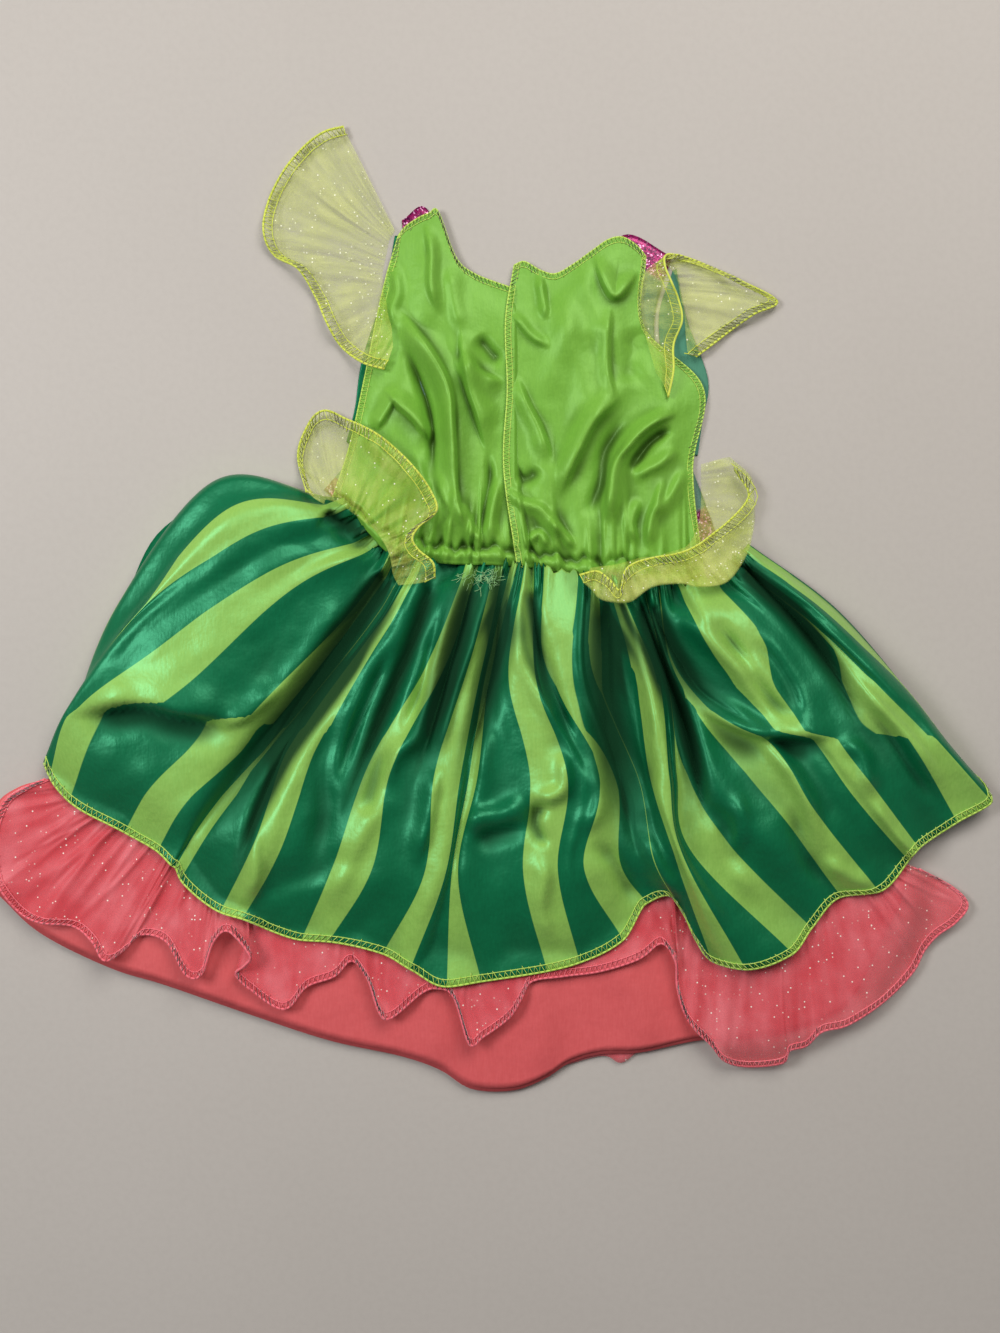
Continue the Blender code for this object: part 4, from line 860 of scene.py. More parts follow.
def back_height(grid, side_left, creases, gathers):
    """Own height of a bodice back panel: rolled down at its side, gathered at the waist."""
    down, across = grid.shape[:2]
    side = grid[:, :1] if side_left else grid[:, -1:]
    away = np.linalg.norm(grid - side, axis=-1)
    roll = eased(away / SIDE_ROLL)
    v = np.linspace(0, 1, down)[:, None]
    u = np.linspace(0, 1, across)[None, :]
    crown = BODICE_CROWN * roll * (0.5 + 0.5 * eased(v / 0.3))
    puff = 4.0 * roll * eased((v - 0.55) / 0.35)
    pleat = 1.2 * np.sin(2 * np.pi * gathers * u) * eased((v - 0.72) / 0.22) * roll
    return crown + puff + pleat + crease_rise(grid, creases) * (0.25 + 0.75 * roll)


def frill_grid(ribs, across, down, pleats, pleat_rise):
    """Frill between its sewn and free edges, over a fold line, with its own height."""
    ribs = np.array(ribs, float)
    places = np.linspace(0, len(ribs) - 1, across)
    table = smooth(np.arange(len(ribs)), ribs[:, :6], places)
    rise = steady(np.arange(len(ribs)), ribs[:, 6], places)[:, 0]
    shares = np.linspace(0, 1, down)
    stations = table.reshape(across, 3, 2).transpose(1, 0, 2).reshape(3, -1)
    flat = steady((0.0, 0.5, 1.0), stations, shares).reshape(down, across, 2)
    wave = np.sin(2 * np.pi * pleats * np.linspace(0, 1, across))
    s = shares[:, None]
    own = rise[None, :] * s**1.3 + pleat_rise * (1 + wave[None, :]) * np.sin(np.pi * s)
    return flat, own


def ruffle_grid(across, down):
    """Glitter ruffle of the lining from its seam to its wavy edge, with its own height."""
    waves = np.array(RUFFLE, float)
    places = np.linspace(0, len(waves) - 1, across)
    table = smooth(np.arange(len(waves)), waves[:, :3], places)
    rise = steady(np.arange(len(waves)), waves[:, 3], places)[:, 0]
    line = np.array(FRILL_SEAM, float)
    seam = np.stack([table[:, 0], smooth(line[:, 0], line[:, 1], table[:, 0])[:, 0]], axis=1)
    s = np.linspace(0, 1, down)[:, None]
    flat = (1 - s[..., None]) * seam[None] + s[..., None] * table[None, :, 1:3]
    return flat, rise[None, :] * s**2


def folded_over(flat, own, turn):
    """Height of a frill whose second half lies back over its first half."""
    s = np.linspace(0, 1, flat.shape[0])[:, None]
    return own * 0.4 + turn * eased((s - 0.25) / 0.4)


def on_table(x, y):
    """Where a picture point of the photo lies, to a tenth of a millimetre."""
    return round((x - PHOTO_X) * PHOTO_SCALE, 1), round((PHOTO_Y - y) * PHOTO_SCALE, 1)


def length_on_table(points):
    """Length of so many picture points, to a hundredth of a millimetre."""
    return round(points * PHOTO_SCALE, 2)


def run_of(row):
    """The four spots that a row of a table ends with, as places on the table."""
    return np.array([on_table(*spot) for spot in row[-4:]])


def close_to(flat, spots, reach):
    """Which flat points lie in the box round some spots, grown by some reach."""
    return np.all((flat > spots.min(axis=0) - reach) & (flat < spots.max(axis=0) + reach),
                  axis=-1)


def fold_rise(flat, folds):
    """Height added by folds at flat points. Each is a ridge, or a trough where its rise is
    negative, with its own width on the left and on the right of its run."""
    total = np.zeros(flat.shape[:-1])
    for fold in folds:
        near = close_to(flat, run_of(fold), 2.6 * max(fold.left, fold.right) + 4)
        if not near.any():
            continue
        course = beside(flat[near], run_of(fold), 14)
        width = np.where(course.leftward, fold.left, fold.right)
        taper = eased(course.share / 0.3) * eased((1 - course.share) / 0.3)
        total[near] += fold.rise * taper * np.exp(-(course.away / width) ** 2)
    return total


def ripples(flat, seed, count, shortest, longest, rise):
    """Faint unevenness of cloth that has been handled."""
    chance = np.random.default_rng(seed)
    total = np.zeros(flat.shape[:-1])
    for _ in range(count):
        turn = chance.uniform(0, np.pi)
        length = chance.uniform(shortest, longest)
        phase = chance.uniform(0, 2 * np.pi)
        run = flat[..., 0] * np.cos(turn) + flat[..., 1] * np.sin(turn)
        total += np.sin(2 * np.pi * run / length + phase) * length / longest
    return total * rise / np.sqrt(count)


def pleats(cloth, shares, seed, count, width, rise, reach, lean):
    """Uneven gathers that start at the waist and fan out."""
    chance = np.random.default_rng(seed)
    total = np.zeros((len(shares), len(cloth)))
    for place in chance.uniform(cloth[0], cloth[-1], count):
        wide = chance.uniform(*width)
        high = chance.uniform(*rise)
        far = chance.uniform(*reach)
        centre = place + chance.uniform(-lean, lean) * shares
        fade = np.exp(-(shares / far) ** 2)
        total += high * fade[:, None] * np.exp(-((cloth[None] - centre[:, None]) / wide) ** 2)
    return total


def lap_shift(flat, laps):
    """Cloth that laps hide: how far the stripes jump just above and just below each lap."""
    total = np.zeros(flat.shape[:-1])
    for lap in laps:
        course = beside(flat.reshape(-1, 2), run_of(lap), 14)
        away = course.away.reshape(total.shape)
        over = course.leftward.reshape(total.shape)
        held = lap.start + (1 - lap.start) * eased(course.share.reshape(total.shape) / 0.6)
        reach = np.where(over, lap.reach, 0.6 * lap.reach)
        side = eased(0.5 + np.where(over, away, -away) / LAP_EDGE)
        total += (side * lap.above + (1 - side) * lap.below) * held * np.exp(-away / reach)
    return total


def carved(flat, height, valleys):
    """Heights cut down to deep valleys, whose sides climb by so much a millimetre, and the
    painted shade of each point, from 0 to 1, by how far down in such a valley it lies."""
    uncut = height.copy()
    dusk = np.zeros_like(height)
    for valley in valleys:
        near = close_to(flat, run_of(valley), 26)
        course = beside(flat[near], run_of(valley), 20)
        climb = np.where(course.leftward, valley.left, valley.right)
        ends = np.maximum(1 - course.share / 0.06, (course.share - 0.45) / 0.55)
        limit = valley.floor + climb * course.away ** 1.1 + 24 * np.maximum(ends, 0) ** 1.3
        old = height[near]
        lower = -VALLEY_RIM * np.log(np.exp(-old / VALLEY_RIM) + np.exp(-limit / VALLEY_RIM))
        height[near] = np.maximum(lower, np.minimum(old, limit) - 2.0)
        # painted shade beside the bottom of the valley, fading in over its first tenth and out
        # over its lower half
        shade_along = eased(course.share / 0.1) * (1 - eased((course.share - 0.5) / 0.5))
        dim = DUSK * shade_along * np.exp(-(course.away / valley.dim) ** 3)
        dusk[near] = np.maximum(dusk[near], dim)
    return height, np.maximum(eased((uncut - height - 1.5) / HOLLOW_DEPTH), dusk)


def tuck_shift(cloth, flat, tucks):
    """Cloth distance at each point, where a stripe narrows and goes under its neighbours."""
    shift = np.zeros(flat.shape[:2])
    for tuck in tucks:
        off = (cloth - tuck.middle)[None, :]
        past = flat[..., 1] - on_table(PHOTO_X, tuck.y)[1]
        up = np.maximum(past, 0) / length_on_table(tuck.above)
        down = np.maximum(-past, 0) / length_on_table(tuck.below)
        shut = np.maximum(1 - up - down, 0)
        push = np.minimum(tuck.half * shut, TUCKED)
        shift += push * np.sign(off) * np.exp(-np.abs(off) / tuck.reach)
    return shift


def skirt_sheet(stack, across, down):
    """Upper half of the overskirt with all its folds, the place of each point on its cloth, and
    its painted shade, deepest far down in a valley."""
    cloth = np.linspace(FIRST_CLOTH, LAST_CLOTH, across)
    shares = np.linspace(0, 1, down) ** ROW_SPREAD
    grid = skirt_grid(cloth, shares)
    flat = grid[..., :2]
    inside = within(cloth)
    waist = np.linalg.norm(np.gradient(flat[0], axis=0), axis=-1) / np.gradient(cloth)
    room = np.clip(waist / 0.3, 0.15, 1.0)[None, :]
    room = room + (1 - room) * eased(shares / 0.3)[:, None]
    fine = pleats(cloth, shares, seed=4, count=40, width=(4, 9), rise=(3.0, 7.0),
                  reach=(0.12, 0.4), lean=14)
    broad = pleats(cloth, shares, seed=9, count=30, width=(7, 12), rise=(3.5, 7.5),
                   reach=(0.5, 1.1), lean=10)
    fine -= 0.7 * fine.mean(axis=1, keepdims=True)
    broad -= 0.7 * broad.mean(axis=1, keepdims=True)
    body = SKIRT_LEVELLING * eased(shares / 0.16) * eased((1 - shares) / 0.26)
    lifted = body[:, None] * inside * np.maximum(SKIRT_BODY - grid[..., 2], 0)
    dip = -1.5 * np.exp(-(shares / 0.022) ** 2)
    edge = 3.0 + 1.8 * np.sin(0.9 * cloth) + 1.2 * np.sin(0.37 * cloth + 1)
    grid[..., 2] += (fine + broad) * room * inside + dip[:, None] * inside + lifted
    grid[..., 2] += 1.55 * fold_rise(flat, SKIRT_FOLDS)
    over = np.maximum(grid[..., 2] - SKIRT_TOP + SOFT_TOP, 0)
    grid[..., 2] -= over - SOFT_TOP * (1 - np.exp(-over / SOFT_TOP))
    grid[..., 2], painted_shade = carved(flat, grid[..., 2], VALLEYS)
    grid[..., 2] += ripples(flat, seed=21, count=18, shortest=12, longest=46, rise=0.7)
    clear = stack.under(flat, cells=2) + LAYER_GAP + WALL / 2
    grid[..., 2] = np.maximum(grid[..., 2], clear)
    shown = cloth[None, :] + lap_shift(flat, LAPS) + tuck_shift(cloth, flat, TUCKS)
    grid[..., 1] += edge * inside * (1 - eased(shares / 0.06))[:, None]
    uvs = np.stack([(shown - FIRST_CLOTH) / (LAST_CLOTH - FIRST_CLOTH),
                    np.broadcast_to(shares[:, None], shown.shape)], axis=-1)
    return grid, uvs, painted_shade


def seen_from_above(grid):
    """Places were read as the camera over the table sees them, so what stands higher is
    nearer to the middle of its view."""
    eye = np.array([CAMERA_X, CAMERA_Y])
    flat = eye + (grid[..., :2] - eye) * (1 - grid[..., 2:] / CAMERA_HEIGHT)
    return np.concatenate([flat, grid[..., 2:]], axis=-1)


def piece(name, points, faces, materials, uvs=None, worn=None):
    """Mesh that rides on the dress. Worn says which material each face has."""
    mesh = bpy.data.meshes.new(name)
    mesh.vertices.add(len(points))
    mesh.vertices.foreach_set("co", ((points - MIDDLE) * METRES).astype(np.float32).ravel())
    mesh.loops.add(faces.size)
    mesh.loops.foreach_set("vertex_index", faces.astype(np.int32).ravel())
    mesh.polygons.add(len(faces))
    mesh.polygons.foreach_set("loop_start",
                              np.arange(0, faces.size, faces.shape[1], dtype=np.int32))
    mesh.update(calc_edges=True)
    mesh.polygons.foreach_set("use_smooth", np.ones(len(faces), bool))
    for made in materials:
        mesh.materials.append(made)
    if worn is not None:
        mesh.polygons.foreach_set("material_index", worn.astype(np.int32))
    if uvs is not None:
        layer = mesh.uv_layers.new(name="cloth")
        layer.data.foreach_set("uv", uvs[faces.ravel()].astype(np.float32).ravel())
    mesh.validate()
    mesh.update()
    made = bpy.data.objects.new(name, mesh)
    bpy.context.scene.collection.objects.link(made)
    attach(made, "root")
    return made


def cloth_piece(name, grid, materials, node=None, uvs=None, painted_shade=None):
    """Closed thin sheet on a grid. The second material, if any, is the wrong side's."""
    rows, columns = grid.shape[:2]
    points, faces = closed_sheet(grid, CLOTH)
    if uvs is None:
        u, v = np.meshgrid(np.linspace(0, 1, columns), np.linspace(0, 1, rows))
        uvs = np.stack([u, v], axis=-1)
    uvs = np.concatenate([uvs.reshape(-1, 2)] * 2)
    upper = (rows - 1) * (columns - 1)
    worn = None
    if len(materials) > 1:
        worn = np.zeros(len(faces), int)
        worn[upper:2 * upper] = 1
    made = piece(name, points, faces, materials, uvs, worn)
    # painted shade of the cloth in its valleys, kept on the mesh for its material to darken by
    if painted_shade is not None:
        layer = made.data.attributes.new("painted_shade", "FLOAT", "POINT")
        layer.data.foreach_set("value", np.concatenate([painted_shade.ravel()] * 2).astype(np.float32))
    if node:
        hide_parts(node)
    return made


def tube(path, ups, radius):
    """Points and faces of a square thread along a path, closed at its ends."""
    sides = 4
    ahead = np.gradient(path, axis=0)
    ahead /= np.maximum(np.linalg.norm(ahead, axis=1, keepdims=True), 1e-9)
    side = np.cross(ahead, ups)
    side /= np.maximum(np.linalg.norm(side, axis=1, keepdims=True), 1e-9)
    top = np.cross(side, ahead)
    angle = 2 * np.pi * np.arange(sides) / sides + np.pi / 4
    ring = (np.cos(angle)[None, :, None] * side[:, None] + np.sin(angle)[None, :, None]
            * top[:, None]) * radius
    points = (path[:, None] + ring).reshape(-1, 3)
    index = np.arange(len(path) * sides).reshape(len(path), sides)
    turned = np.roll(index, -1, axis=1)
    faces = np.stack([index[:-1], turned[:-1], turned[1:], index[1:]], axis=-1).reshape(-1, 4)
    return points, np.concatenate([faces, index[:1, ::-1], index[-1:]])


def joined(parts):
    """Points and faces of several threads as one mesh."""
    points, faces, start = [], [], 0
    for more, quads in parts:
        points.append(more)
        faces.append(quads + start)
        start += len(more)
    return np.concatenate(points), np.concatenate(faces)


def even(path, *others, step):
    """The path and what goes with it, at even distances."""
    run = np.concatenate([[0.0], np.cumsum(np.linalg.norm(np.diff(path, axis=0), axis=1))])
    at = np.linspace(0, run[-1], max(int(run[-1] / step), 3))
    return [np.stack([np.interp(at, run, rows[:, i]) for i in range(3)], axis=1)
            for rows in (path, *others)]


def overlock(grid, side, pitch, depth, radius, seed):
    """Threads over the free edge of a sheet: a cord along the edge, and teeth inwards."""
    away = normals(grid)
    away = np.where(away[..., 2:].mean() < 0, -away, away)
    if side in ("first", "last"):
        rim, inner, up = (grid[0], grid[2], away[0]) if side == "first" else (
            grid[-1], grid[-3], away[-1])
    else:
        rim, inner, up = (grid[:, 0], grid[:, 2], away[:, 0]) if side == "start" else (
            grid[:, -1], grid[:, -3], away[:, -1])
    rim, inner, up = even(rim, inner, up, step=pitch / 2)
    inwards = inner - rim
    inwards /= np.maximum(np.linalg.norm(inwards, axis=1, keepdims=True), 1e-9)
    chance = np.random.default_rng(seed)
    lift = up * (CLOTH / 2 + radius)
    wander = chance.normal(0, 0.12, (len(rim), 1))
    teeth = rim + lift
    teeth[1::2] += inwards[1::2] * depth * (1 + wander[1::2])
    teeth[::2] -= inwards[::2] * 0.4
    seam = rim + inwards * depth * 0.92 + lift * 0.9
    for path in (teeth, rim, seam):
        path[:, 2] = np.maximum(path[:, 2], 2.2 * radius)
    return joined([tube(teeth, up, radius), tube(rim, up, radius * 1.9),
                   tube(seam, up, radius * 0.8)])


def frays(grid, spot, reach, count, radius, seed):
    """Loose thread ends that lie over a sheet around one spot."""
    chance = np.random.default_rng(seed)
    cloth = grid[:, ::2].reshape(-1, 3)
    cloth = cloth[np.linalg.norm(cloth[:, :2] - spot, axis=1) < 2 * reach]
    steps = 12
    share = np.linspace(0, 1, steps)
    parts = []
    for _ in range(count):
        start = spot + chance.normal(0, 1.0, 2) * (0.45 * reach, 0.22 * reach)
        heading = chance.uniform(-3.6, 0.5)
        bend = chance.normal(0, 0.9)
        length = chance.uniform(0.2, 0.5) * reach
        turn = heading + bend * share
        path = np.zeros((steps, 3))
        path[:, 0] = start[0] + np.cumsum(np.cos(turn)) * length / steps
        path[:, 1] = start[1] + np.cumsum(np.sin(turn)) * length / steps
        gap = np.linalg.norm(path[:, None, :2] - cloth[None, :, :2], axis=-1)
        path[:, 2] = cloth[gap.argmin(axis=1), 2]
        path[:, 2] = np.convolve(np.pad(path[:, 2], 2, "edge"), np.full(5, 0.2), "valid")
        path[:, 2] += CLOTH + chance.uniform(0.3, 1.4) * np.sin(np.pi * share)
        parts.append(tube(path, np.tile(UPWARDS, (steps, 1)), radius))
    return joined(parts)


def new_material(name):
    """A material with its tree and its shader."""
    made = bpy.data.materials.new(name)
    made.use_nodes = True
    tree = made.node_tree
    return made, tree, tree.nodes["Principled BSDF"]


def maths(tree, operation, first, second=None, third=None):
    """One sum of up to three numbers or sockets."""
    made = tree.nodes.new("ShaderNodeMath")
    made.operation = operation
    for socket, value in zip(made.inputs, (first, second, third)):
        if value is None:
            continue
        if isinstance(value, (int, float)):
            socket.default_value = value
        else:
            tree.links.new(value, socket)
    return made.outputs[0]


def ramp(tree, value, low, high, to_low=0.0, to_high=1.0):
    """A value that eases from one number to another between low and high."""
    made = tree.nodes.new("ShaderNodeMapRange")
    made.interpolation_type = "SMOOTHSTEP"
    tree.links.new(value, made.inputs["Value"])
    made.inputs["From Min"].default_value = low
    made.inputs["From Max"].default_value = high
    made.inputs["To Min"].default_value = to_low
    made.inputs["To Max"].default_value = to_high
    return made.outputs["Result"]


def mixed(tree, share, first, second, blend="MIX"):
    """A share of the second colour in the first."""
    made = tree.nodes.new("ShaderNodeMix")
    made.data_type = "RGBA"
    made.blend_type = blend
    inputs = {"Factor": made.inputs[0], "A": made.inputs[6], "B": made.inputs[7]}
    for name, value in (("Factor", share), ("A", first), ("B", second)):
        if isinstance(value, tuple):
            inputs[name].default_value = (*value, 1.0)
        elif isinstance(value, (int, float)):
            inputs[name].default_value = value
        else:
            tree.links.new(value, inputs[name])
    return made.outputs[2]


def noise(tree, scale, detail=2.0, rough=0.5, stretch=None, source="Object"):
    """Cloudy pattern from 0 to 1."""
    place = tree.nodes.new("ShaderNodeTexCoord")
    spot = place.outputs[source]
    if stretch:
        turned = tree.nodes.new("ShaderNodeMapping")
        turned.inputs["Scale"].default_value = stretch
        tree.links.new(spot, turned.inputs["Vector"])
        spot = turned.outputs["Vector"]
    made = tree.nodes.new("ShaderNodeTexNoise")
    made.inputs["Scale"].default_value = scale
    made.inputs["Detail"].default_value = detail
    made.inputs["Roughness"].default_value = rough
    tree.links.new(spot, made.inputs["Vector"])
    return made.outputs["Fac"]


def bump(tree, shader, *layers):
    """Layers are (height, strength, distance in metres)."""
    normal = None
    for height, strength, distance in layers:
        made = tree.nodes.new("ShaderNodeBump")
        made.inputs["Strength"].default_value = strength
        made.inputs["Distance"].default_value = distance
        tree.links.new(height, made.inputs["Height"])
        if normal is not None:
            tree.links.new(normal, made.inputs["Normal"])
        normal = made.outputs["Normal"]
    tree.links.new(normal, shader.inputs["Normal"])


def settings(shader, **values):
    """Plain values of a shader, by short names."""
    names = {"rough": "Roughness", "sheen": "Sheen Weight", "sheen_rough": "Sheen Roughness",
             "aniso": "Anisotropic", "spec": "Specular IOR Level", "tint": "Specular Tint"}
    for name, value in values.items():
        if isinstance(value, tuple):
            value = (*value, 1.0)
        shader.inputs[names[name]].default_value = value


def painted_shade_of(tree):
    """Painted shade of the cloth in its valleys, as its mesh says."""
    made = tree.nodes.new("ShaderNodeAttribute")
    made.attribute_name = "painted_shade"
    return made.outputs["Fac"]


def cloth_map(tree):
    """Places across and along the cloth, from 0 to 1."""
    place = tree.nodes.new("ShaderNodeUVMap")
    place.uv_map = "cloth"
    split = tree.nodes.new("ShaderNodeSeparateXYZ")
    tree.links.new(place.outputs["UV"], split.inputs["Vector"])
    return split.outputs["X"], split.outputs["Y"]


def flake_cells(tree, scale):
    """Distance to the middle of each glitter flake, and three numbers of its own."""
    place = tree.nodes.new("ShaderNodeTexCoord")
    cells = tree.nodes.new("ShaderNodeTexVoronoi")
    cells.inputs["Scale"].default_value = scale
    tree.links.new(place.outputs["Object"], cells.inputs["Vector"])
    parts = tree.nodes.new("ShaderNodeSeparateColor")
    tree.links.new(cells.outputs["Color"], parts.inputs["Color"])
    return cells.outputs["Distance"], parts.outputs


def satin_thread(tree):
    """Pattern of the fine threads that a satin shows."""
    return noise(tree, 900.0, 2.0, 0.6, (1.0, 0.16, 1.0))


def woven(tree, thread, colour, strength):
    """A colour with the threads of its cloth a little lighter."""
    share = ramp(tree, thread, 0.3, 0.75, 0.0, strength)
    return mixed(tree, share, colour, (1.0, 1.0, 1.0), "SOFT_LIGHT")


def striped_satin(name, wrong_side):
    """Satin printed or woven with lime and green stripes, set by the cloth's own map."""
    made, tree, shader = new_material(name)
    across = cloth_map(tree)[0]
    cloth = maths(tree, "MULTIPLY_ADD", across, LAST_CLOTH - FIRST_CLOTH, FIRST_CLOTH)
    turn = maths(tree, "FLOORED_MODULO", cloth, STRIPE_PERIOD)
    rises = ramp(tree, turn, DARK_STRIPE - 0.25, DARK_STRIPE + 0.25)
    ends = ramp(tree, turn, STRIPE_PERIOD - 0.5, STRIPE_PERIOD)
    lime = maths(tree, "SUBTRACT", rises, ends)
    thread = satin_thread(tree)
    cloud = noise(tree, 22.0, 3.0, 0.5)
    light = mixed(tree, cloud, (0.225, 0.423, 0.0675), (0.29, 0.53, 0.10))
    dark = mixed(tree, cloud, (0.0017, 0.08925, 0.0306), (0.003, 0.13, 0.05))
    colour = woven(tree, thread, mixed(tree, lime, dark, light), 0.16)
    # painted shade: the cloth deep in a valley is darkened almost to black, and made rougher, in
    # place of the light that fails to reach it
    deep = painted_shade_of(tree)
    colour = mixed(tree, maths(tree, "MULTIPLY", deep, 0.95), colour, (0.002, 0.012, 0.001))
    if wrong_side:
        colour = mixed(tree, 0.35, colour, (0.10, 0.22, 0.09))
    tree.links.new(colour, shader.inputs["Base Color"])
    rough = 0.55 if wrong_side else 0.4
    tree.links.new(maths(tree, "MULTIPLY_ADD", deep, 0.6, rough), shader.inputs["Roughness"])
    settings(shader, aniso=0.0 if wrong_side else 0.35,
             spec=0.3 if wrong_side else 1.0, tint=(0.22, 1.0, 0.55))
    bump(tree, shader, (noise(tree, 38.0, 4.0, 0.6), 0.5, 0.0022), (thread, 0.2, 0.0003))
    return made


def satin(name, colour, other, tint, rough=0.5, aniso=0.3, spec=0.6):
    """Satin of one colour that drifts a little towards another, with painted shade in its
    valleys.
    """
    made, tree, shader = new_material(name)
    thread = satin_thread(tree)
    cloud = noise(tree, 20.0, 3.0, 0.5)
    tone = woven(tree, thread, mixed(tree, cloud, colour, other), 0.14)
    # painted shade: deep in a valley the cloth darkens to about an eighth of its colour
    tone = mixed(tree, painted_shade_of(tree), tone, tuple(0.12 * c for c in colour))
    tree.links.new(tone, shader.inputs["Base Color"])
    settings(shader, rough=rough, aniso=aniso, spec=spec, tint=tint)
    bump(tree, shader, (noise(tree, 42.0, 4.0, 0.6), 0.45, 0.002), (thread, 0.16, 0.0003))
    return made


def wrong_side_satin(name, colour, other, tint):
    """The dull back of a satin."""
    return satin(name, colour, other, tint, rough=0.6, aniso=0.0, spec=0.3)


def sheer(name, colour, pale, cover, streaks):
    """See-through cloth with a fine mesh, denser where its crinkles bunch, and glitter flakes
    that hide it, painted near white as glints.
    Cover is how much it hides, and streaks say how its crinkles are drawn out."""
    made, tree, shader = new_material(name)
    crinkle = noise(tree, 1.0, 2.0, 0.5, streaks, "UV")
    cloud = noise(tree, 26.0, 3.0, 0.6)
    net = noise(tree, 1500.0, 1.0, 0.5)
    distance, own = flake_cells(tree, FLAKES)
    glinting_flake = maths(tree, "MULTIPLY", ramp(tree, own[0], 0.93, 0.96), ramp(tree, distance, 0.38, 0.2))
    bunch = maths(tree, "MULTIPLY_ADD", crinkle, 0.35, maths(tree, "MULTIPLY", cloud, 0.65))
    tone = mixed(tree, ramp(tree, bunch, 0.35, 0.7), colour, pale)
    # glitter flakes are painted a warm near white, as painted glints
    tone = mixed(tree, maths(tree, "MULTIPLY", glinting_flake, 0.9), tone, (1.0, 0.97, 0.85))
    tree.links.new(tone, shader.inputs["Base Color"])
    solid = maths(tree, "ADD", ramp(tree, bunch, 0.36, 0.68, cover - 0.07, cover + 0.09),
                  ramp(tree, net, 0.4, 0.6, -0.05, 0.05))
    solid = maths(tree, "MAXIMUM", solid, maths(tree, "MULTIPLY", glinting_flake, 0.9))
    tree.links.new(maths(tree, "MINIMUM", solid, 1.0), shader.inputs["Alpha"])
    settings(shader, rough=0.5, spec=0.4, sheen=0.25, sheen_rough=0.4)
    bump(tree, shader, (bunch, 0.3, 0.001), (net, 0.15, 0.0002))
    return made


def thread_material(name, colour, other):
    """Sewing thread."""
    made, tree, shader = new_material(name)
    tone = mixed(tree, noise(tree, 380.0, 2.0), colour, other)
    tree.links.new(tone, shader.inputs["Base Color"])
    settings(shader, rough=0.55, spec=0.4, sheen=0.4, sheen_rough=0.4)
    bump(tree, shader, (noise(tree, 2200.0, 1.0), 0.3, 0.0002))
    return made


def glitter(name, colour, painted_glint, dark, wrong_side):
    """Cloth covered with coarse glitter flakes that face every way, a few of them painted pale as
    glints, folded over at the shoulders and the waist so that its wrong side shows between them."""
    made, tree, shader = new_material(name)
    own = flake_cells(tree, COARSE_FLAKES)[1]
    tone = mixed(tree, ramp(tree, own[0], 0.1, 0.75), dark, colour)
    # painted glints: a few flakes take a pale pink colour, as if they caught the light
    tone = mixed(tree, ramp(tree, own[1], 0.88, 0.93), tone, painted_glint)
    down = cloth_map(tree)[1]
    turned = maths(tree, "MULTIPLY", ramp(tree, down, 0.09, 0.11), ramp(tree, down, 0.90, 0.88))
    tone = mixed(tree, turned, tone, wrong_side)
    tree.links.new(tone, shader.inputs["Base Color"])
    tree.links.new(ramp(tree, turned, 0.0, 1.0, 0.35, 0.0), shader.inputs["Metallic"])
    tree.links.new(ramp(tree, turned, 0.0, 1.0, 0.3, 0.6), shader.inputs["Roughness"])
    settings(shader, spec=0.6)
    bump(tree, shader, (own[2], 0.8, 0.0007))
    return made


def table_material():
    """Pale plastic table top with a faint grain."""
    made, tree, shader = new_material("pale_table")
    broad = noise(tree, 3.0, 4.0, 0.55)
    grain = noise(tree, 260.0, 3.0, 0.6)
    tone = mixed(tree, broad, (0.46, 0.425, 0.385), (0.52, 0.482, 0.445))
    tone = mixed(tree, ramp(tree, grain, 0.35, 0.7, 0.0, 0.10), tone, (0.36, 0.33, 0.30))
    tree.links.new(tone, shader.inputs["Base Color"])
    settings(shader, rough=0.62, spec=0.25)
    bump(tree, shader, (grain, 0.1, 0.0004))
    return made


def own_pleats(own, seed, count, width, rise):
    """Crinkles of a frill that run from its seam to its free edge, on a grid like its own."""
    rows, columns = own.shape
    chance = np.random.default_rng(seed)
    u = np.linspace(0, 1, columns)
    s = np.linspace(0, 1, rows)[:, None]
    total = np.zeros((rows, columns))
    for place in chance.uniform(0, 1, count):
        wide = chance.uniform(*width)
        high = chance.uniform(*rise)
        start = chance.uniform(-0.2, 0.5)
        centre = place + chance.uniform(-0.02, 0.02) * s
        total += high * np.exp(-((u[None] - centre) / wide) ** 2) * np.exp(
            -((s - start) / 0.55) ** 2)
    return total


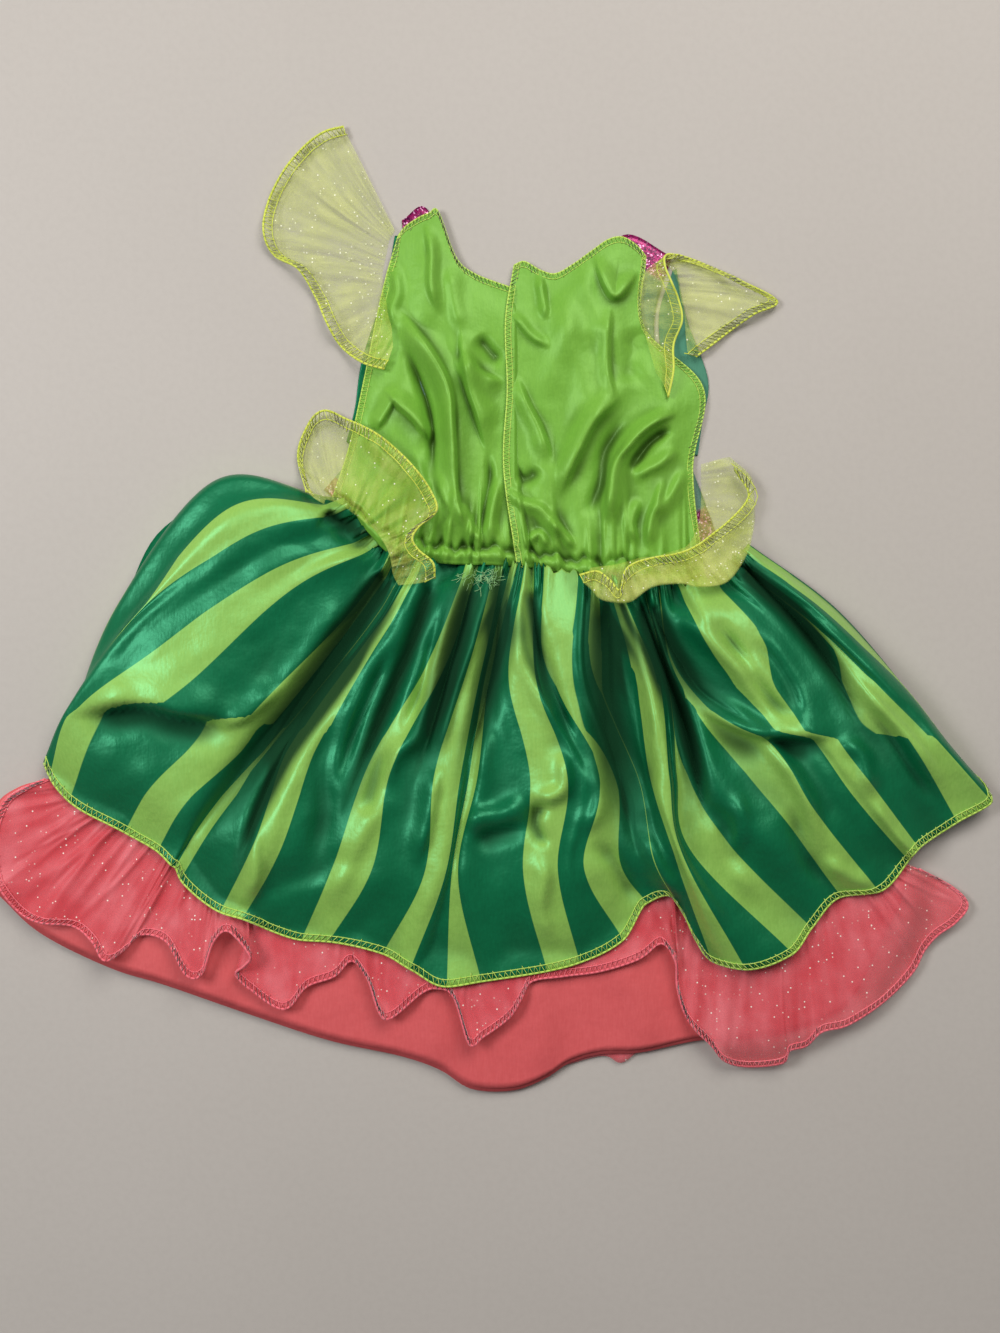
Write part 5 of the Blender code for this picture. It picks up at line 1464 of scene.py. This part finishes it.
def build():
    """Every sheet as a grid, from the one on the table to the one on top, with the place of each
    point of the overskirt on its cloth and the painted shade of some sheets in their valleys."""
    stack = Stack()
    made = {}

    def lay(name, grid):
        made[name] = grid
        stack.add(grid)

    flat = patch(UNDER_WAIST, UNDER_HEM, UNDER_LEFT, UNDER_RIGHT, across=80, down=40)
    lay("overskirt_front", resting(stack, flat))
    lay("bodice_front", level(bodice_grid(FRONT_LINES, across=64, down=52), 0))
    lay("bodice_side_left", level(bodice_grid(SIDE_LEFT_LINES, across=20, down=60), 0))
    lay("bodice_side_right", level(bodice_grid(SIDE_RIGHT_LINES, across=20, down=60), 0))

    v = np.linspace(0, 1, 12)[:, None, None]
    shares = np.linspace(0, 1, 240)
    top, edge = by_share(FRONT_FRILL_TOP, shares), by_share(FRONT_FRILL_EDGE, shares)
    lay("frill_front", level((1 - v) * top[None] + v * edge[None], 1))
    outlines = (LINING_WAIST, LINING_HEM, LINING_LEFT, LINING_RIGHT)
    lay("lining_front", level(patch(*outlines, across=100, down=32), 2))
    flat = patch(*outlines, across=210, down=84)
    flat[..., 1] += HEM_APART * np.linspace(0, 1, len(flat))[:, None]
    lining = level(flat, 3)
    lining[..., 2] += crease_rise(flat, LINING_FOLDS)
    lining[..., 2] += 0.3 + ripples(flat, seed=31, count=18, shortest=16, longest=60, rise=0.25)
    lay("lining_back", lining)
    flat, own = ruffle_grid(across=1000, down=30)
    own += own_pleats(own, seed=12, count=190, width=(0.002, 0.006), rise=(0.3, 1.1))
    lay("frill_back", resting(stack, flat, own, cells=5))

    skirt, stripes, painted_shade = skirt_sheet(stack, across=470, down=96)
    left = bodice_grid(back_lines(BACK_LEFT_LINES), across=150, down=190)
    right = bodice_grid(back_lines(BACK_RIGHT_LINES), across=165, down=190)
    own = back_height(left, side_left=True, creases=LEFT_CREASES, gathers=5)
    left = bridging(stack, left, own + bodice_detail(left, LEFT_FOLDS, seed=51))
    own = back_height(right, side_left=False, creases=RIGHT_CREASES, gathers=6)
    right = bridging(stack, right, own + bodice_detail(right, RIGHT_FOLDS, seed=52))
    lay("bodice_back_left", left)
    lapped = stack.under(right[..., :2], cells=1) + LAYER_GAP + WALL / 2
    right[..., 2] = np.maximum(right[..., 2], lapped)
    lay("bodice_back_right", right)
    lay("overskirt_back", skirt)

    for name, ribs, rows, cells, seed in (
            ("sleeve_frill_left", SLEEVE_LEFT_RIBS, 34, 1, 61),
            ("sleeve_frill_right", SLEEVE_RIGHT_RIBS, 32, 1, 62),
            ("peplum_left", PEPLUM_LEFT_RIBS, 34, 2, 63),
            ("peplum_right", PEPLUM_RIGHT_RIBS, 40, 2, 64)):
        flat, own = frill_grid(ribs, across=300, down=rows, pleats=14, pleat_rise=0.6)
        if name == "peplum_right":
            own = folded_over(flat, own, turn=5.0)
        own += own_pleats(own, seed=seed, count=34, width=(0.008, 0.026), rise=(0.3, 1.2))
        lay(name, resting(stack, flat, own, cells=cells))

    # painted shade in the valleys of the overskirt and of both halves of the bodice's back
    shade = {"overskirt_back": np.maximum(painted_shade, 0.8 * painted_valley_shade(skirt, reach=9, depth=7.0))}
    for name in ("bodice_back_left", "bodice_back_right"):
        shade[name] = 0.8 * painted_valley_shade(made[name], reach=8, depth=3.2)
    for name in ("bodice_back_left", "bodice_back_right", "overskirt_back"):
        made[name] = drawn_up(made[name])
    return {name: seen_from_above(grid) for name, grid in made.items()}, stripes, shade


def bodice_detail(grid, folds, seed):
    """Fine folds of a bodice back, the drawn-in casing at its waist and its handled look."""
    down, across = grid.shape[:2]
    v = np.linspace(0, 1, down)
    u = np.linspace(0, 1, across)
    chance = np.random.default_rng(seed)
    puckers = np.zeros((down, across))
    for place in chance.uniform(0, 1, 22):
        wide, high = chance.uniform(0.009, 0.022), chance.uniform(1.0, 3.0)
        start, far = chance.uniform(0.92, 0.98), chance.uniform(0.03, 0.12)
        puckers += high * np.exp(-((v[:, None] - start) / far) ** 2) * np.exp(
            -((u[None] - place - chance.uniform(-0.05, 0.05) * (v[:, None] - 1)) / wide) ** 2)
    line = GATHER_LINE + 0.006 * np.sin(40 * u + seed) + 0.004 * np.sin(97 * u)
    draw = -3.4 * np.exp(-((v[:, None] - line[None]) / 0.010) ** 2)
    draw -= 4.0 * eased((v[:, None] - 0.975) / 0.025)
    return (1.5 * fold_rise(grid, folds) + puckers + draw
            + 0.4 + ripples(grid, seed + 5, count=16, shortest=12, longest=40, rise=0.3))


def drawn_up(grid):
    """The waist as its elastic draws it up in the middle of the back."""
    x, y = grid[..., 0], grid[..., 1] - WAIST_Y
    reach = np.where(y < 0, 24.0, 48.0)
    middle = eased((x + 66) / 26) * eased((100 - x) / 26)
    moved = grid.copy()
    moved[..., 1] += WAIST_DRAW * middle * np.exp(-(y / reach) ** 2)
    return moved


def blurred(height, reach):
    """Mean height over so many cells to each side."""
    for axis in (0, 1):
        pad = [(0, 0), (0, 0)]
        pad[axis] = (reach + 1, reach)
        total = np.cumsum(np.pad(height, pad, mode="edge"), axis=axis)
        ahead = np.take(total, range(2 * reach + 1, total.shape[axis]), axis=axis)
        behind = np.take(total, range(0, total.shape[axis] - 2 * reach - 1), axis=axis)
        height = (ahead - behind) / (2 * reach + 1)
    return height


def bridging(stack, flat, own):
    """Cloth too stiff to follow every step of what it lies on."""
    grid = resting(stack, flat, own, cells=3)
    grid[..., 2] = np.maximum(own + blurred(grid[..., 2] - own, reach=6) + 0.2, CLOTH)
    return grid


def painted_valley_shade(grid, reach, depth):
    """Painted shade of each point of a sheet, from 0 to 1, by how far below its surroundings it
    lies.
    """
    height = grid[..., 2]
    return eased((blurred(height, reach) - height) / depth)


# Lamps, with their places and sizes in metres
LAMPS = (
    Lamp("top_light", (0.55, 1.1, 1.35), (-0.68, 0.22, 0.0), 1.2, 25.5, (1.0, 0.97, 0.93)),
    Lamp("side_light", (-1.1, 0.3, 1.2), (-0.2, -0.74, 0.0), 0.6, 15.6, (0.97, 0.98, 1.0)),
)


def covers():
    """What lies over each solid: its piece, its right and its wrong side, and its slot."""
    skirt = striped_satin("striped_satin", False)
    skirt_inside = striped_satin("striped_satin_wrong_side", True)
    lime = satin("lime_satin", (0.14, 0.355, 0.033), (0.18, 0.41, 0.048), (0.6, 1.0, 0.4),
                 rough=0.46, spec=0.8)
    lime_inside = wrong_side_satin("lime_satin_wrong_side", (0.20, 0.42, 0.06),
                                   (0.24, 0.46, 0.09), (0.6, 1.0, 0.4))
    green = satin("green_satin", (0.002, 0.10, 0.038), (0.004, 0.13, 0.05), (0.2, 1.0, 0.6),
                  rough=0.36)
    green_inside = wrong_side_satin("green_satin_wrong_side", (0.06, 0.20, 0.13),
                                    (0.08, 0.24, 0.16), (0.4, 1.0, 0.7))
    coral = satin("coral_satin", (0.60, 0.088, 0.092), (0.68, 0.11, 0.115), (1.0, 0.6, 0.6))
    pink = glitter("magenta_glitter", colour=(0.36, 0.01, 0.13), painted_glint=(1.0, 0.45, 0.75),
                   dark=(0.10, 0.002, 0.05), wrong_side=(0.10, 0.22, 0.16))
    organza = sheer("lime_organza", (0.60, 0.72, 0.05), (0.82, 0.88, 0.26), cover=0.17,
                    streaks=(46.0, 3.0, 1.0))
    tulle = sheer("coral_tulle", (0.82, 0.085, 0.11), (0.92, 0.22, 0.25), cover=0.48,
                  streaks=(90.0, 2.5, 1.0))
    return (
        Cover("overskirt_front", "striped_satin_under", [green, green_inside],
              "overskirt_under_satin"),
        Cover("bodice_front", "glitter_front", [pink, green_inside], "bodice_glitter"),
        Cover("bodice_side_left", "side_panel_left", [green, green_inside], "side_satin_left"),
        Cover("bodice_side_right", "side_panel_right", [green_inside, green],
              "side_satin_right"),
        Cover("frill_front", "tulle_front", [tulle], "glitter_tulle_under"),
        Cover("lining_front", "lining_cloth_front", [coral], "lining_satin_under"),
        Cover("lining_back", "lining_cloth_back", [coral], "lining_satin"),
        Cover("frill_back", "tulle_back", [tulle], "glitter_tulle"),
        Cover("overskirt_back", "striped_cloth_back", [skirt, skirt_inside],
              "overskirt_stripe_satin"),
        Cover("bodice_back_left", "lime_cloth_left", [lime, lime_inside], "bodice_satin_left"),
        Cover("bodice_back_right", "lime_cloth_right", [lime, lime_inside],
              "bodice_satin_right"),
        Cover("sleeve_frill_left", "organza_frill_left", [organza], "organza_sleeve_left"),
        Cover("sleeve_frill_right", "organza_frill_right", [organza], "organza_sleeve_right"),
        Cover("peplum_left", "organza_peplum_left", [organza], "organza_peplum_left"),
        Cover("peplum_right", "organza_peplum_right", [organza], "organza_peplum_right"),
    )


def stitching(name, parts, thread):
    """Threads as one piece."""
    points, faces = joined(parts)
    made = piece(name, points, faces, [thread])
    return made


def edge_threads(sheets):
    """Overlock along the free edges, by the sheet that it is sewn to."""
    lime = thread_material("lime_thread", (0.42, 0.66, 0.06), (0.60, 0.80, 0.16))
    yellow = thread_material("yellow_thread", (0.56, 0.65, 0.04), (0.70, 0.76, 0.12))
    pink = thread_material("pink_thread", (0.86, 0.10, 0.14), (0.96, 0.22, 0.26))
    plan = [
        Overlock("hem_overlock", "overskirt_back", ["last"], 3.4, 4.2, 0.38, lime, 1),
        Overlock("tulle_overlock", "frill_back", ["last"], 3.0, 4.0, 0.42, pink, 2),
        Overlock("back_overlock_left", "bodice_back_left", ["first", "start"],
                 2.4, 3.4, 0.3, lime, 3),
        Overlock("back_overlock_right", "bodice_back_right", ["first", "start", "end"],
                 2.4, 3.4, 0.3, lime, 5),
    ]
    frills = ("sleeve_frill_left", "sleeve_frill_right", "peplum_left", "peplum_right")
    for seed, source in enumerate(frills, 10):
        plan.append(Overlock(source + "_overlock", source, ["last"], 2.8, 5.6, 0.42,
                             yellow, seed))
    threads = {}
    for row in plan:
        parts = [overlock(sheets[row.source], side, row.pitch, row.depth, row.radius, seed)
                 for seed, side in enumerate(row.sides, row.seed)]
        threads[row.source] = [stitching(row.name, parts, row.thread)]
    return threads


def loose_threads(sheet):
    """Frayed ends at the waist of the skirt, left of the seam of the bodice's back."""
    thread = thread_material("frayed_thread", (0.26, 0.56, 0.22), (0.42, 0.70, 0.34))
    ends = frays(sheet, FRAYED_SPOT, reach=13.0, count=80, radius=0.14, seed=21)
    return stitching("waist_frays", [ends], thread)


def dress():
    """Every sheet with what is sewn to it."""
    sheets, stripes, shade = build()
    plan = covers()
    for source, name, materials, slot in plan:
        cloth_piece(name, sheets[source], materials, source,
                                    stripes if source == "overskirt_back" else None,
                                    shade.get(source))
    threads = edge_threads(sheets)
    loose = loose_threads(sheets["overskirt_back"])
    threads["overskirt_back"].append(loose)


def placed(name, what, spot):
    """A new object in the scene."""
    made = bpy.data.objects.new(name, what)
    made.location = spot
    bpy.context.scene.collection.objects.link(made)
    return made


def add_camera():
    """Camera straight above the table, as the photo was taken."""
    camera = bpy.data.cameras.new("camera")
    camera.lens = CAMERA_LENS
    camera.sensor_width = SENSOR_WIDTH
    camera.clip_start = 0.01
    spot = (np.array([CAMERA_X, CAMERA_Y, CAMERA_HEIGHT]) - MIDDLE) * METRES
    bpy.context.scene.camera = placed("camera", camera, spot)


def add_table():
    """The table top that the dress lies on."""
    floor = bpy.data.meshes.new("table")
    half = TABLE_HALF
    corners = [(-half, -half, 0), (half, -half, 0), (half, half, 0), (-half, half, 0)]
    floor.from_pydata(corners, [], [(0, 1, 2, 3)])
    floor.materials.append(table_material())
    placed("table", floor, (0, 0, 0))


def add_light():
    """Soft light of a room, with two lamps that give the satin its shine."""
    world = bpy.context.scene.world or bpy.data.worlds.new("soft_room")
    bpy.context.scene.world = world
    world.use_nodes = True
    sky = world.node_tree.nodes["Background"]
    sky.inputs["Color"].default_value = (0.98, 0.98, 1.0, 1.0)
    sky.inputs["Strength"].default_value = 0.156
    for row in LAMPS:
        lamp = bpy.data.lights.new(row.name, "AREA")
        lamp.size = row.size
        lamp.energy = row.watts
        lamp.color = row.tint
        placed(row.name, lamp, row.spot).rotation_euler = row.turn
    bpy.context.scene.view_settings.view_transform = "Standard"


dress()
add_camera()
add_table()
add_light()
